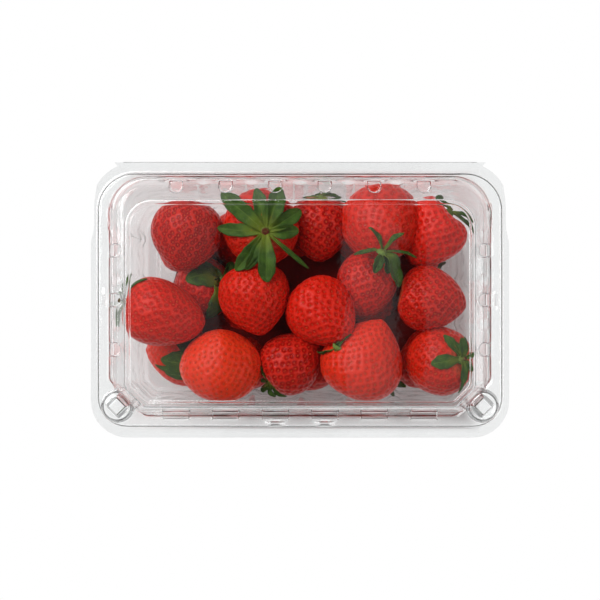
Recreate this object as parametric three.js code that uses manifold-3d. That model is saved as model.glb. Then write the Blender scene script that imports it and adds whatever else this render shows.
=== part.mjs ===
// A clear hinged clamshell punnet, closed over a heap of strawberries.
//
// Millimetres, +Z up. The origin is on the ground under the middle of the pack: X runs along the
// long side, +Y points to the back edge, where a living hinge joins the lid to the tray, and the
// two lock buttons stand in the front corners.

import * as THREE from 'three';
import { mergeVertices } from 'three/addons/utils/BufferGeometryUtils.js';
import Module from 'manifold-3d';

const wasm = await Module();
wasm.setup();

// ---- Driving dimensions ---------------------------------------------------------------------

const PACK = { length: 187, width: 123, height: 76 };
const FILM = 0.6; // wall of the thermoformed film
const PARTING = 58; // height of the plane where the two flanges meet
const MEETING_GAP = 0.3; // air between the lid's flange and the tray's

const HALF_LENGTH = PACK.length / 2;
const HALF_WIDTH = PACK.width / 2;

const FLANGE = { backRadius: 20, frontRadius: 16.5, narrowing: 1.5, stepBack: 30 };
const HINGE = { halfSpan: 83, depth: 4, point: 3.5 };

const TRAY = {
  footHeight: 2.4, // how far the floor panel stands above the ground
  footWidth: 5.6,
  footLean: 1, // how far the rise from the foot to the floor panel leans in
  footEase: 1.2, // the foot's outer edge is eased by this much
  wallFoot: 1.8, // the wall's face starts at this height
  footHalfLength: 74.2,
  footHalfWidth: 43.2,
  wallTop: 49,
  mouthHalfLength: 84.5,
  mouthBack: 54.4,
  mouthFront: 51,
  stepHeight: 1, // the wall flares into the skirt over this height
  skirtOut: 0.8, // the step above the wall
};

// Radii of the round back corners, level by level, and of the arcs that ease the cut front corners.
const BACK_RADIUS = { foot: 12, mouth: 16, skirt: 16.8, ledge: 14, fold: 13, lidTop: 12 };
const CUT_EASE = { foot: 3, wall: 4 };

// The front corners are cut off by an upright wall, which makes room for the lock buttons. The cut
// is given as the sum of the two distances from the pack's middle at which it meets both sides.
const CORNER_CUT = { floor: 112.5, mouth: 121, skirt: 121.6, lidFoot: 122, lidFold: 121.4, lidTop: 115.4 };

const FLUTE = {
  depth: 1.6, halfWidth: 2.8, foot: 5, top: 45, pitchLong: 22, pitchShort: 20, firstShort: -11,
};
const FLUTES_LONG = [-2, -1, 0, 1, 2];
const FLUTES_SHORT = [0, 1, 2];

const FLOOR_VENT = { length: 16, width: 4, pitchX: 38, rows: [-15, 15], columns: [-1.5, -0.5, 0.5, 1.5] };

const LID = {
  flangeSide: 2.9, // flat flange at the short sides
  flangeEnd: 4.5, // flat flange at the front and back
  ledgeHeight: 4.2, // ledge above the parting plane
  rise: 0.5, // how far the rise from flange to ledge leans in
  ledgeHalfLength: 83, // the ledge's inner edge
  ledgeBack: 53.5,
  ledgeFront: 49.8,
  foldHalfLength: 81.6, // the ledge curls up to this fold, where the steep shoulder starts
  foldBack: 51,
  foldFront: 49.1,
  foldHeight: 6,
  topHalfLength: 77,
  topBack: 44.3,
  topFront: 47,
  ridge: 2.2, // width of the raised ridge round the top panel
  panelDrop: 0.8, // the top panel lies this far below the ridge
};

// The lid's buttons are round and grow out of its cut corners. The tray's posts inside them have four
// flat, more tapered sides.
const BUTTON = { x: 81, y: -47, radius: 7.3, height: 7.2, draft: 1, clearance: 0.45 };
const POST_DRAFT = 2.6;
const ROUND_SIDES = 14;
const POST_SIDES = 4;

// At the back and the sides each vent is a pocket in the lid's shoulder, round at its inner end, with a
// level shelf and a slot at its outer end. Along the front each vent is a wide box that stands on the
// ledge against the shoulder, with its slot at the inner end.
const VENT = { length: 5, width: 1.6, pitch: 22, halfWidth: 2.5, reach: 4.6, shelf: 6.2, rise: 12 };
const VENT_FROM = { side: 84.1, back: 52.6 };
const FRONT_BOX = { halfWidth: 5.8, front: 52.6, back: 46, top: 6.7, slot: 50 };
const VENT_COLUMNS = [-2.5, -1.5, -0.5, 0.5, 1.5, 2.5];
const VENT_ROWS = [-1, 0, 1];
const SIDE_SLIT = { y: 38, length: 10, inset: 8.8, width: 1.2 };
const LATCH = { x: 10.9, length: 8.1, width: 2.6, height: 1.1, inset: 5.3 };

// One row a strawberry: the x, y and z of its middle, its diameter and length, the heading and the
// pitch in degrees of the line from its stalk end to its tip, how pointed it is, and the number and
// the length of the calyx leaves that stand out from it.
const TOP_FRUIT = [
  [-51.4, 28.6, 50, 32.5, 32, -100, 15, 0.56, 0, 0],
  [-18.5, 33, 48.5, 33.5, 34, 140, -76, 0.72, 10, 19],
  [-20, -0.2, 51.5, 33, 32.5, -80, 12, 0.66, 0, 0],
  [9, 32.4, 42, 27.5, 30, -92, -5, 0.52, 4, 10],
  [37.3, 33.3, 50.5, 37, 33, -80, 55, 0.58, 0, 0],
  [29, 5.4, 43.5, 28, 31.5, -117, -12, 0.62, 6, 14],
  [61.4, 28.6, 45.5, 27, 30, -125, 5, 0.58, 4, 12],
  [60, 0.6, 49.5, 29.8, 31, -12, 0, 0.58, 0, 0],
  [10.8, -6.4, 53, 31.5, 33, -50, 25, 0.54, 0, 0],
  [-61.2, -6.4, 50, 31.5, 37.5, -16, 4, 0.52, 4, 10],
  [-36.2, -28.6, 51, 36, 34.5, 80, 42, 0.6, 4, 12],
  [-2.8, -27.4, 45, 28, 31, 42, 0, 0.7, 4, 11],
  [29.5, -25.6, 50.5, 36, 38, 65, 15, 0.72, 4, 11],
  [61.4, -28.4, 46.4, 31.5, 32.5, 190, -45, 0.66, 6, 12],
];
const LOWER_FRUIT = [
  [-46.5, 4.5, 31, 28.5, 29, 205, -30, 0.7, 4, 13],
  [-57.5, -25, 24.5, 28, 32, 172, -20, 0.7, 3, 13],
  [-52.5, 29, 21, 30, 31, 100, 10, 0.66, 0, 0],
  [-29, 29.5, 19.5, 29.5, 31, 60, -10, 0.7, 0, 0],
  [1, 29, 18.5, 27.5, 31, -20, 12, 0.72, 0, 0],
  [29, 29.5, 19, 29, 30, 110, 5, 0.62, 0, 0],
  [59, 29, 18.5, 28, 30, 35, -8, 0.7, 0, 0],
  [-22.5, -1.5, 19.5, 29, 31, 10, 15, 0.66, 0, 0],
  [5, -0.5, 19.5, 28, 30, 75, -12, 0.7, 0, 0],
  [33.5, -1, 19, 29.5, 30, -30, 10, 0.7, 0, 0],
  [62, -1.5, 19.5, 28, 30, 5, 8, 0.68, 0, 0],
  [-28.5, -29.4, 18.5, 28.5, 30, 200, 6, 0.7, 0, 0],
  [1.5, -29.4, 18.5, 28.5, 31, 190, -6, 0.7, 0, 0],
  [32, -29.2, 18.5, 29, 31, -15, 5, 0.66, 0, 0],
  [61, -28.4, 20, 30, 29, -30, 5, 0.7, 0, 0],
];
const FRUIT_SIDES = 13;
const FRUIT_LEVELS = 8;
const CORE = { halfLength: 60, halfWidth: 31, halfHeight: 15, z: 28, squareness: 0.6 };
const LEAF = { thickness: 0.8, slender: 0.17, cup: 0.9, sweep: 0.35, droop: 0.22, unevenDroop: 0.14 };

const COLOURS = { film: 0xe6ebea, fruit: 0xc3201b };

// ---- Meshes and solids ----------------------------------------------------------------------

function toSolid(geometry) {
  const bare = geometry.clone();
  bare.deleteAttribute('normal');
  bare.deleteAttribute('uv');
  const merged = mergeVertices(bare, 1e-5);
  return new wasm.Manifold(new wasm.Mesh({
    numProp: 3,
    vertProperties: new Float32Array(merged.attributes.position.array),
    triVerts: new Uint32Array(withoutSlivers(merged.index.array)),
  }));
}

// Triangles that keep three different corners once equal vertices are merged.
function withoutSlivers(index) {
  const kept = [];
  for (let i = 0; i < index.length; i += 3) {
    const [a, b, c] = index.slice(i, i + 3);
    if (a !== b && b !== c && c !== a) kept.push(a, b, c);
  }
  return kept;
}

function toGeometry(vertices, triangles) {
  const geometry = new THREE.BufferGeometry();
  geometry.setAttribute('position', new THREE.Float32BufferAttribute(vertices, 3));
  geometry.setIndex([...triangles]);
  geometry.computeVertexNormals();
  return geometry;
}

function fromSolid(solid) {
  const mesh = solid.getMesh();
  return toGeometry(mesh.vertProperties, mesh.triVerts);
}

// Joins rings with the same number of points into one closed skin. A fan round the pack's middle
// closes the first ring with a face that looks down, and the last with one that looks up.
function loft(rings) {
  const count = rings[0].points.length;
  const vertices = rings.flatMap(({ points, z }) => points.flatMap(([x, y]) => [x, y, z]));
  const firstMiddle = vertices.length / 3;
  const lastMiddle = firstMiddle + 1;
  vertices.push(0, 0, rings[0].z, 0, 0, rings.at(-1).z);
  const triangles = [];
  for (let level = 0; level + 1 < rings.length; level++) {
    for (let i = 0; i < count; i++) {
      const here = level * count + i;
      const next = level * count + ((i + 1) % count);
      triangles.push(here, next, next + count, here, next + count, here + count);
    }
  }
  const lastRing = (rings.length - 1) * count;
  for (let i = 0; i < count; i++) {
    const next = (i + 1) % count;
    triangles.push(firstMiddle, next, i, lastMiddle, lastRing + i, lastRing + next);
  }
  return toGeometry(vertices, triangles);
}

function block(sizeX, sizeY, sizeZ, x, y, z) {
  return toSolid(new THREE.BoxGeometry(sizeX, sizeY, sizeZ).translate(x, y, z));
}

function joined(solid, parts) {
  return parts.reduce((whole, part) => whole.add(part), solid);
}

function without(solid, cutters) {
  return cutters.reduce((rest, cutter) => rest.subtract(cutter), solid);
}

// ---- The outline that every level of the pack shares ----------------------------------------

function arc(centreX, centreY, radius, fromDegrees, toDegrees, steps) {
  return Array.from({ length: steps + 1 }, (_, i) => {
    const angle = THREE.MathUtils.degToRad(fromDegrees + ((toDegrees - fromDegrees) * i) / steps);
    return [centreX + radius * Math.cos(angle), centreY + radius * Math.sin(angle)];
  });
}

// A rectangle with round back corners and cut front corners, each cut eased by two small arcs.
function outline({ halfLength, back, front, backRadius, cut, ease }) {
  const lead = ease * Math.tan(Math.PI / 8);
  const right = [
    ...arc(halfLength - cut - lead, ease - front, ease, -90, -45, 2),
    ...arc(halfLength - ease, cut + lead - front, ease, -45, 0, 2),
    ...arc(halfLength - backRadius, back - backRadius, backRadius, 0, 90, 4),
  ];
  const left = right.map(([x, y]) => [-x, y]).reverse();
  return [...right, ...left];
}

// One level with the same overhang at the front as at the back.
function level(z, halfLength, halfWidth, corner) {
  return ringAt(z, { halfLength, back: halfWidth, front: halfWidth, ...corner });
}

function ringAt(z, shape) {
  return { z, points: outline(shape) };
}

// The cut that a front corner needs for its straight part to lie on the given corner sum.
function cutTo(sum, halfLength, front) {
  return halfLength + front - sum;
}

// A plain round front corner, written as a cut whose two arcs meet.
function roundCorner(radius) {
  return { cut: radius * (2 - Math.SQRT2), ease: radius };
}

function flangeRing(z, inSide, inEnd) {
  return level(z, HALF_LENGTH - inSide, HALF_WIDTH - inEnd, {
    backRadius: FLANGE.backRadius - inSide,
    ...roundCorner(FLANGE.frontRadius - inSide),
  });
}

// ---- The hinge's strip and the flange's narrower back part ----------------------------------

// A flat strip along the back edge with a pointed ear at each end.
function hingeStrip(bottom) {
  const { halfSpan, depth, point } = HINGE;
  const strip = new THREE.Shape([
    new THREE.Vector2(-halfSpan, HALF_WIDTH),
    new THREE.Vector2(-halfSpan + point, HALF_WIDTH - depth),
    new THREE.Vector2(halfSpan - point, HALF_WIDTH - depth),
    new THREE.Vector2(halfSpan, HALF_WIDTH),
  ]);
  const plate = new THREE.ExtrudeGeometry(strip, { depth: FILM, bevelEnabled: false });
  return toSolid(plate.translate(0, 0, bottom));
}

// Trims a flange by a narrow strip behind the step in its short sides.
function narrowBack(solid, bottom) {
  const { narrowing, stepBack } = FLANGE;
  const length = PACK.width;
  const tall = 4 * FILM;
  return [-1, 1].reduce((rest, sign) => rest.subtract(block(
    2 * narrowing, length, tall,
    sign * HALF_LENGTH, stepBack + length / 2, bottom,
  )), solid);
}

// ---- Lock buttons ---------------------------------------------------------------------------

// A drafted boss that stands on the given level. The radius is that of its corners.
function boss(sides, radius, draft, bottom, top, sign) {
  const height = top - bottom;
  const post = new THREE.CylinderGeometry(radius - draft, radius, height, sides);
  post.rotateX(Math.PI / 2).translate(sign * BUTTON.x, BUTTON.y, bottom + height / 2);
  return toSolid(post);
}

// The outer forms of a boss in both front corners, and the spaces inside them.
function bosses(sides, radius, draft, bottom, top) {
  const wall = FILM / Math.cos(Math.PI / sides);
  return {
    outside: [-1, 1].map((sign) => boss(sides, radius, draft, bottom, top, sign)),
    inside: [-1, 1].map((sign) => boss(sides, radius - wall, draft, bottom - 2 * FILM, top - FILM, sign)),
  };
}

// ---- Tray -----------------------------------------------------------------------------------

function wallHalf(z, footHalf, mouthHalf) {
  return THREE.MathUtils.mapLinear(z, 0, TRAY.wallTop, footHalf, mouthHalf);
}

// A level of the drafted wall, inset from its outer face.
function wallRing(z, inset) {
  const halfLength = wallHalf(z, TRAY.footHalfLength, TRAY.mouthHalfLength) - inset;
  const back = wallHalf(z, TRAY.footHalfWidth, TRAY.mouthBack) - inset;
  const front = wallHalf(z, TRAY.footHalfWidth, TRAY.mouthFront) - inset;
  const sum = wallHalf(z, CORNER_CUT.floor, CORNER_CUT.mouth);
  return ringAt(z, {
    halfLength, back, front,
    backRadius: wallHalf(z, BACK_RADIUS.foot, BACK_RADIUS.mouth) - inset,
    cut: cutTo(sum - inset * Math.SQRT2, halfLength, front),
    ease: CUT_EASE.wall,
  });
}

// A level of the upright skirt above the wall, which carries the flange.
function skirtRing(z, inset) {
  const halfLength = TRAY.mouthHalfLength + TRAY.skirtOut - inset;
  const back = TRAY.mouthBack + TRAY.skirtOut - inset;
  const front = TRAY.mouthFront + TRAY.skirtOut - inset;
  return ringAt(z, {
    halfLength, back, front,
    backRadius: BACK_RADIUS.skirt - inset,
    cut: cutTo(CORNER_CUT.skirt - inset * Math.SQRT2, halfLength, front),
    ease: CUT_EASE.wall,
  });
}

function footRing(z, inset) {
  const halfLength = TRAY.footHalfLength - inset;
  const halfWidth = TRAY.footHalfWidth - inset;
  return level(z, halfLength, halfWidth, {
    backRadius: BACK_RADIUS.foot - inset / 2,
    cut: cutTo(CORNER_CUT.floor - inset * Math.SQRT2, halfLength, halfWidth),
    ease: CUT_EASE.foot,
  });
}

// The full block inside the tray's outer face.
function trayBlock(top) {
  const { footHeight, footWidth, footLean, wallFoot, wallTop, stepHeight } = TRAY;
  return toSolid(loft([
    footRing(footHeight, footWidth + footLean),
    footRing(0, footWidth),
    footRing(0, TRAY.footEase),
    wallRing(wallFoot, 0),
    wallRing(wallTop - stepHeight, 0),
    skirtRing(wallTop, 0),
    skirtRing(top - FILM, 0),
    flangeRing(top - FILM, 0, 0),
    flangeRing(top, 0, 0),
  ]));
}

// The space inside the tray: a trough over the foot, the raised panel and the tapered mouth.
function trayHollow(top) {
  const { footHeight, footWidth, footLean, wallFoot, wallTop, stepHeight } = TRAY;
  const mouth = toSolid(loft([
    footRing(FILM, TRAY.footEase + FILM),
    wallRing(wallFoot + FILM / 2, FILM),
    wallRing(wallTop - stepHeight + FILM, FILM),
    skirtRing(wallTop + FILM, FILM),
    skirtRing(top + FILM, FILM),
  ]));
  const panel = toSolid(loft([
    footRing(0, footWidth - FILM / 2),
    footRing(footHeight + FILM, footWidth + footLean - FILM / 2),
  ]));
  return mouth.subtract(panel);
}

// Bars that dent the wall into upright flutes. They lean with the wall, and reach into it by the
// given depth from its outer face.
function flutes(depth, halfWidth) {
  const { mouthHalfLength, mouthBack, mouthFront, footHalfLength, footHalfWidth, wallTop } = TRAY;
  const proud = 1;
  const spread = (halfWidth * proud) / depth;
  const section = new THREE.Shape([
    new THREE.Vector2(-halfWidth - spread, -proud),
    new THREE.Vector2(halfWidth + spread, -proud),
    new THREE.Vector2(halfWidth / 2, depth),
    new THREE.Vector2(-halfWidth / 2, depth),
  ]);
  const middle = (FLUTE.foot + FLUTE.top) / 2;
  const bar = (lean, halfDepth, turn, shift) => {
    const height = FLUTE.top - FLUTE.foot + 2 * (depth - FLUTE.depth);
    const geometry = new THREE.ExtrudeGeometry(section, { depth: height, bevelEnabled: false });
    geometry.translate(0, 0, -height / 2).rotateX(lean).translate(shift, -halfDepth, middle);
    return toSolid(geometry.rotateZ(turn));
  };
  const onWall = (footHalf, mouthHalf, turn, shift) => bar(
    Math.atan2(mouthHalf - footHalf, wallTop), wallHalf(middle, footHalf, mouthHalf), turn, shift,
  );
  const ends = FLUTES_LONG.flatMap((k) => [[mouthFront, 0], [mouthBack, Math.PI]].map(
    ([mouth, turn]) => onWall(footHalfWidth, mouth, turn, k * FLUTE.pitchLong),
  ));
  const sides = FLUTES_SHORT.flatMap((k) => [-1, 1].map((sign) => onWall(
    footHalfLength, mouthHalfLength, (sign * Math.PI) / 2, sign * (FLUTE.firstShort + k * FLUTE.pitchShort),
  )));
  return [...ends, ...sides];
}

// Round-ended slots in the raised floor panel.
function floorVents() {
  const { length, width, pitchX, rows, columns } = FLOOR_VENT;
  const half = (length - width) / 2;
  const slot = new THREE.Shape();
  slot.absarc(half, 0, width / 2, -Math.PI / 2, Math.PI / 2);
  slot.absarc(-half, 0, width / 2, Math.PI / 2, (3 * Math.PI) / 2);
  const depth = 3 * FILM;
  return rows.flatMap((y) => columns.map((k) => toSolid(
    new THREE.ExtrudeGeometry(slot, { depth, bevelEnabled: false, curveSegments: 3 })
      .translate(k * pitchX, y, TRAY.footHeight - FILM),
  )));
}

function buildTray() {
  const top = PARTING - MEETING_GAP / 2;
  const postTop = PARTING + LID.ledgeHeight + BUTTON.height - FILM - BUTTON.clearance;
  const postRadius = BUTTON.radius - FILM - BUTTON.clearance;
  const outside = without(trayBlock(top), flutes(FLUTE.depth, FLUTE.halfWidth));
  const inside = without(trayHollow(top), flutes(FLUTE.depth + FILM, FLUTE.halfWidth + FILM / 2));
  const rim = narrowBack(outside.subtract(inside), top - FILM).add(hingeStrip(top - FILM));
  const posts = bosses(POST_SIDES, postRadius, POST_DRAFT, top - FILM / 2, postTop);
  return without(joined(without(rim, floorVents()), posts.outside), posts.inside);
}

// ---- Lid ------------------------------------------------------------------------------------

// A level of the lid inside its flange, inset from its outer face.
function lidRing(z, inset, { halfLength, back, front, backRadius, sum }) {
  return ringAt(z, {
    halfLength: halfLength - inset,
    back: back - inset,
    front: front - inset,
    backRadius: backRadius - inset,
    cut: cutTo(sum - inset * Math.SQRT2, halfLength - inset, front - inset),
    ease: CUT_EASE.wall,
  });
}

function ledgeEdgeRing(z, inset) {
  return lidRing(z, inset, {
    halfLength: LID.ledgeHalfLength, back: LID.ledgeBack, front: LID.ledgeFront,
    backRadius: BACK_RADIUS.ledge, sum: CORNER_CUT.lidFoot,
  });
}

function foldRing(z, inset) {
  return lidRing(z, inset, {
    halfLength: LID.foldHalfLength, back: LID.foldBack, front: LID.foldFront,
    backRadius: BACK_RADIUS.fold, sum: CORNER_CUT.lidFold,
  });
}

function lidTopRing(z, inset) {
  return lidRing(z, inset, {
    halfLength: LID.topHalfLength, back: LID.topBack, front: LID.topFront,
    backRadius: BACK_RADIUS.lidTop, sum: CORNER_CUT.lidTop,
  });
}

function lidBlock(bottom) {
  const ledge = PARTING + LID.ledgeHeight;
  const panel = PACK.height - LID.panelDrop;
  const { flangeSide, flangeEnd, ridge, rise } = LID;
  return toSolid(loft([
    flangeRing(bottom, 0, 0),
    flangeRing(bottom + FILM, 0, 0),
    flangeRing(bottom + FILM, flangeSide, flangeEnd),
    flangeRing(ledge - rise, flangeSide + rise, flangeEnd + rise),
    ledgeEdgeRing(ledge, 0),
    foldRing(PARTING + LID.foldHeight, 0),
    lidTopRing(panel, 0),
    lidTopRing(PACK.height, FILM),
    lidTopRing(PACK.height, ridge),
    lidTopRing(panel, ridge + FILM),
  ]));
}

function lidHollow(bottom) {
  const ledge = PARTING + LID.ledgeHeight - FILM;
  const panel = PACK.height - LID.panelDrop - FILM;
  const shoulder = 0.75 * FILM; // the steep shoulder's wall, measured level
  const { flangeSide, flangeEnd, ridge, rise } = LID;
  return toSolid(loft([
    flangeRing(bottom - FILM, flangeSide + FILM, flangeEnd + FILM),
    flangeRing(ledge - rise, flangeSide + rise + FILM, flangeEnd + rise + FILM),
    ledgeEdgeRing(ledge, shoulder),
    foldRing(PARTING + LID.foldHeight - FILM, shoulder),
    lidTopRing(panel, shoulder),
    lidTopRing(PACK.height - FILM, 1.2 * FILM),
    lidTopRing(PACK.height - FILM, ridge),
    lidTopRing(panel, ridge + 1.2 * FILM),
  ]));
}

// The places of the vent pockets: the middle of each one's outer end, and the turn that points it
// to the pack's middle.
function pocketPlaces() {
  const back = VENT_COLUMNS.map((k) => ({ x: k * VENT.pitch, y: VENT_FROM.back, turn: 0 }));
  const sides = VENT_ROWS.flatMap((k) => [-1, 1].map((sign) => ({
    x: sign * VENT_FROM.side, y: k * VENT.pitch, turn: (-sign * Math.PI) / 2,
  })));
  return [...back, ...sides];
}

// Upright cutters that sink the round-ended pockets into the lid's steep shoulder.
function ventPockets(grow) {
  const bottom = PARTING + VENT.shelf - grow;
  const radius = VENT.halfWidth + grow;
  const tongue = new THREE.Shape();
  tongue.moveTo(-radius, VENT.rise);
  tongue.absarc(0, VENT.halfWidth - VENT.reach, radius, Math.PI, 2 * Math.PI);
  tongue.lineTo(radius, VENT.rise);
  const options = { depth: PACK.height - bottom, bevelEnabled: false, curveSegments: 3 };
  return pocketPlaces().map(({ x, y, turn }) => toSolid(
    new THREE.ExtrudeGeometry(tongue, options).rotateZ(turn).translate(x, y, bottom),
  ));
}

// Boxes on the front ledge, inset from their outer faces.
function frontBoxes(inset) {
  const { halfWidth, front, back, top } = FRONT_BOX;
  const depth = front - inset - back;
  const height = top - LID.ledgeHeight + FILM;
  return VENT_COLUMNS.map((k) => block(
    2 * (halfWidth - inset), depth, height,
    k * VENT.pitch, -back - depth / 2, PARTING + top - inset - height / 2,
  ));
}

// Slots at the outer ends of the pockets and in the boxes' tops, and a slit near each back corner.
function ventSlots() {
  const tall = 3 * VENT.shelf;
  const bar = new THREE.BoxGeometry(VENT.length, VENT.width, tall);
  const pockets = pocketPlaces().map(({ x, y, turn }) => toSolid(
    bar.clone().translate(0, -VENT.width / 2, 0).rotateZ(turn).translate(x, y, PARTING + VENT.shelf),
  ));
  const boxes = VENT_COLUMNS.map((k) => toSolid(
    bar.clone().translate(k * VENT.pitch, -FRONT_BOX.slot, PARTING + FRONT_BOX.top),
  ));
  const slits = [-1, 1].map((sign) => block(
    SIDE_SLIT.width, SIDE_SLIT.length, tall,
    sign * (HALF_LENGTH - SIDE_SLIT.inset), SIDE_SLIT.y, PARTING + VENT.shelf,
  ));
  return [...pockets, ...boxes, ...slits];
}

// Two low nubs on the front ledge that snap over the tray's edge.
function latchNubs() {
  const { x, length, width, height, inset } = LATCH;
  const bottom = PARTING + LID.ledgeHeight - FILM;
  return [-1, 1].map((sign) => block(
    length, width, height + FILM, sign * x, inset + width / 2 - HALF_WIDTH, bottom + (height + FILM) / 2,
  ));
}

function buildLid() {
  const bottom = PARTING + MEETING_GAP / 2;
  const ledge = PARTING + LID.ledgeHeight;
  const buttons = bosses(ROUND_SIDES, BUTTON.radius, BUTTON.draft, ledge - 1.5 * FILM, ledge + BUTTON.height);
  const body = without(lidBlock(bottom), ventPockets(0));
  const hollow = without(lidHollow(bottom), ventPockets(FILM));
  const outside = joined(body, [...frontBoxes(0), ...buttons.outside]);
  const inside = joined(hollow, [...frontBoxes(FILM), ...buttons.inside]);
  const rim = narrowBack(outside.subtract(inside), bottom).add(hingeStrip(bottom));
  return without(joined(rim, latchNubs()), ventSlots());
}

// ---- Strawberries ---------------------------------------------------------------------------

// The radius at u of the way from stalk end to tip: flat round the stalk, widest before the middle
// and more or less pointed.
function fruitRadius(u, diameter, taper) {
  const swell = Math.sin(Math.PI * u ** 0.72);
  return (diameter / 2) * Math.max(swell, 0) ** (0.5 + (taper - 0.5) * u);
}

function fruitBody(diameter, length, taper) {
  const profile = Array.from({ length: FRUIT_LEVELS + 1 }, (_, i) => {
    const u = (1 - Math.cos((Math.PI * i) / FRUIT_LEVELS)) / 2;
    const atEnd = i === 0 || i === FRUIT_LEVELS;
    return new THREE.Vector2(atEnd ? 0 : fruitRadius(u, diameter, taper), (u - 0.5) * length);
  });
  return toSolid(new THREE.LatheGeometry(profile, FRUIT_SIDES));
}

// A thin leaf along +X, cupped at its middle and bent at its tip, both faces split alike.
function leaf(reach, bend) {
  const { thickness, slender, cup } = LEAF;
  const halfWidth = reach * slender;
  const stations = [
    { x: 0.5, y: halfWidth * 0.5, z: -1.4 },
    { x: reach * 0.55, y: halfWidth, z: cup },
    { x: reach, y: thickness / 2, z: bend },
  ];
  const vertices = [1, -1].flatMap((face) => stations.flatMap(({ x, y, z }) => [
    x, -y, z + (face * thickness) / 2, x, y, z + (face * thickness) / 2,
  ]));
  const top = [[0, 2, 3], [0, 3, 1], [2, 4, 5], [2, 5, 3]];
  const lower = 2 * stations.length;
  const rim = [0, 2, 4, 5, 3, 1];
  const triangles = top.flatMap(([a, b, c]) => [a, b, c, lower + a, lower + c, lower + b]);
  rim.forEach((a, i) => {
    const b = rim[(i + 1) % rim.length];
    triangles.push(a, lower + a, lower + b, a, lower + b, b);
  });
  return toGeometry(vertices, triangles);
}

// Leaves in a star round the stalk end, which looks along +Z here.
function calyx(count, reach, random) {
  return Array.from({ length: count }, (_, k) => {
    const length = reach * (0.85 + 0.3 * random());
    const bend = -reach * (LEAF.droop + LEAF.unevenDroop * random());
    const turn = (2 * Math.PI * (k + LEAF.sweep * (random() - 0.5))) / count;
    return toSolid(leaf(length, bend).rotateZ(turn));
  });
}

// A small seeded generator of numbers from 0 to 1.
function seeded(seed) {
  let state = seed;
  return () => {
    state = (state * 16807) % 2147483647;
    return state / 2147483647;
  };
}

function placement([x, y, z, , , heading, pitch]) {
  const turn = new THREE.Matrix4().makeRotationZ(THREE.MathUtils.degToRad(heading));
  const tilt = new THREE.Matrix4().makeRotationY(THREE.MathUtils.degToRad(-pitch));
  return new THREE.Matrix4().makeTranslation(x, y, z).multiply(turn).multiply(tilt);
}

function moved(solid, matrix) {
  return solid.transform(matrix.toArray());
}

// One strawberry with its leaves, its line from stalk end to tip turned from +X to its heading.
function strawberry(row, seed) {
  const [, , , diameter, length, , , taper, leafCount, leafReach] = row;
  const tipAlongX = new THREE.Matrix4().makeRotationZ(-Math.PI / 2);
  const body = moved(fruitBody(diameter, length, taper), tipAlongX);
  const stalkEnd = new THREE.Matrix4().makeRotationY(-Math.PI / 2).setPosition(-length / 2, 0, 0);
  const leaves = calyx(leafCount, leafReach, seeded(seed)).map((blade) => moved(blade, stalkEnd));
  const whole = leaves.reduce((rest, blade) => rest.add(blade), body);
  return moved(whole, placement(row));
}

// A rounded block, hidden in the heap, that holds the fruit together as one body.
function core() {
  const { halfLength, halfWidth, halfHeight, z, squareness } = CORE;
  const ball = new THREE.SphereGeometry(1, 12, 8).rotateX(Math.PI / 2);
  const position = ball.attributes.position;
  const square = (value) => Math.sign(value) * Math.abs(value) ** squareness;
  for (let i = 0; i < position.count; i++) {
    const [x, y, height] = [position.getX(i), position.getY(i), position.getZ(i)].map(square);
    position.setXYZ(i, x * halfLength, y * halfWidth, z + height * halfHeight);
  }
  return toSolid(ball);
}

// Keeps the outer skin alone, so that pockets closed in between the fruit are filled.
function outerSkin(solid) {
  const { vertProperties, triVerts } = solid.getMesh();
  const parent = Array.from({ length: vertProperties.length / 3 }, (_, i) => i);
  const find = (i) => {
    let root = i;
    while (parent[root] !== root) root = parent[root];
    parent[i] = root;
    return root;
  };
  for (let i = 0; i < triVerts.length; i += 3) {
    parent[find(triVerts[i])] = find(triVerts[i + 1]);
    parent[find(triVerts[i + 1])] = find(triVerts[i + 2]);
  }
  const skins = new Map();
  for (let i = 0; i < triVerts.length; i += 3) {
    const root = find(triVerts[i]);
    skins.set(root, [...(skins.get(root) ?? []), ...triVerts.slice(i, i + 3)]);
  }
  const largest = [...skins.values()].sort((a, b) => b.length - a.length)[0];
  return toSolid(toGeometry(vertProperties, largest));
}

function buildHeap() {
  const rows = [...TOP_FRUIT, ...LOWER_FRUIT];
  const fruit = rows.map((row, i) => strawberry(row, 1000 + 37 * i));
  return outerSkin(fruit.reduce((heap, berry) => heap.add(berry), core()));
}

// ---- The node group -------------------------------------------------------------------------

function film(name, solid) {
  const material = new THREE.MeshStandardMaterial({
    color: COLOURS.film,
    roughness: 0.08,
    metalness: 0,
    transparent: true,
    opacity: 0.25,
  });
  const mesh = new THREE.Mesh(fromSolid(solid), material);
  mesh.name = name;
  return mesh;
}

function heap(name, solid) {
  const material = new THREE.MeshStandardMaterial({ color: COLOURS.fruit, roughness: 0.35, metalness: 0 });
  const mesh = new THREE.Mesh(fromSolid(solid), material);
  mesh.name = name;
  return mesh;
}

const group = new THREE.Group();
group.add(film('tray', buildTray()));
group.add(film('lid', buildLid()));
group.add(heap('strawberries', buildHeap()));

export default group;
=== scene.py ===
"""Looks of a clear hinged clamshell punnet of strawberries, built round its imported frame.

Shapes are worked out in millimetres and become metres when a mesh is made. +X runs along the long
side, +Y points to the hinge and +Z up, as in the frame. The pack stands on the floor at z = 0.
"""

import logging
import math
from dataclasses import dataclass, field
from enum import Enum

import bmesh
import bpy
import numpy as np
from bpy.types import Material, Mesh, Node, NodeSocket, NodeTree, Object, World
from mathutils import Matrix, Vector


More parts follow.
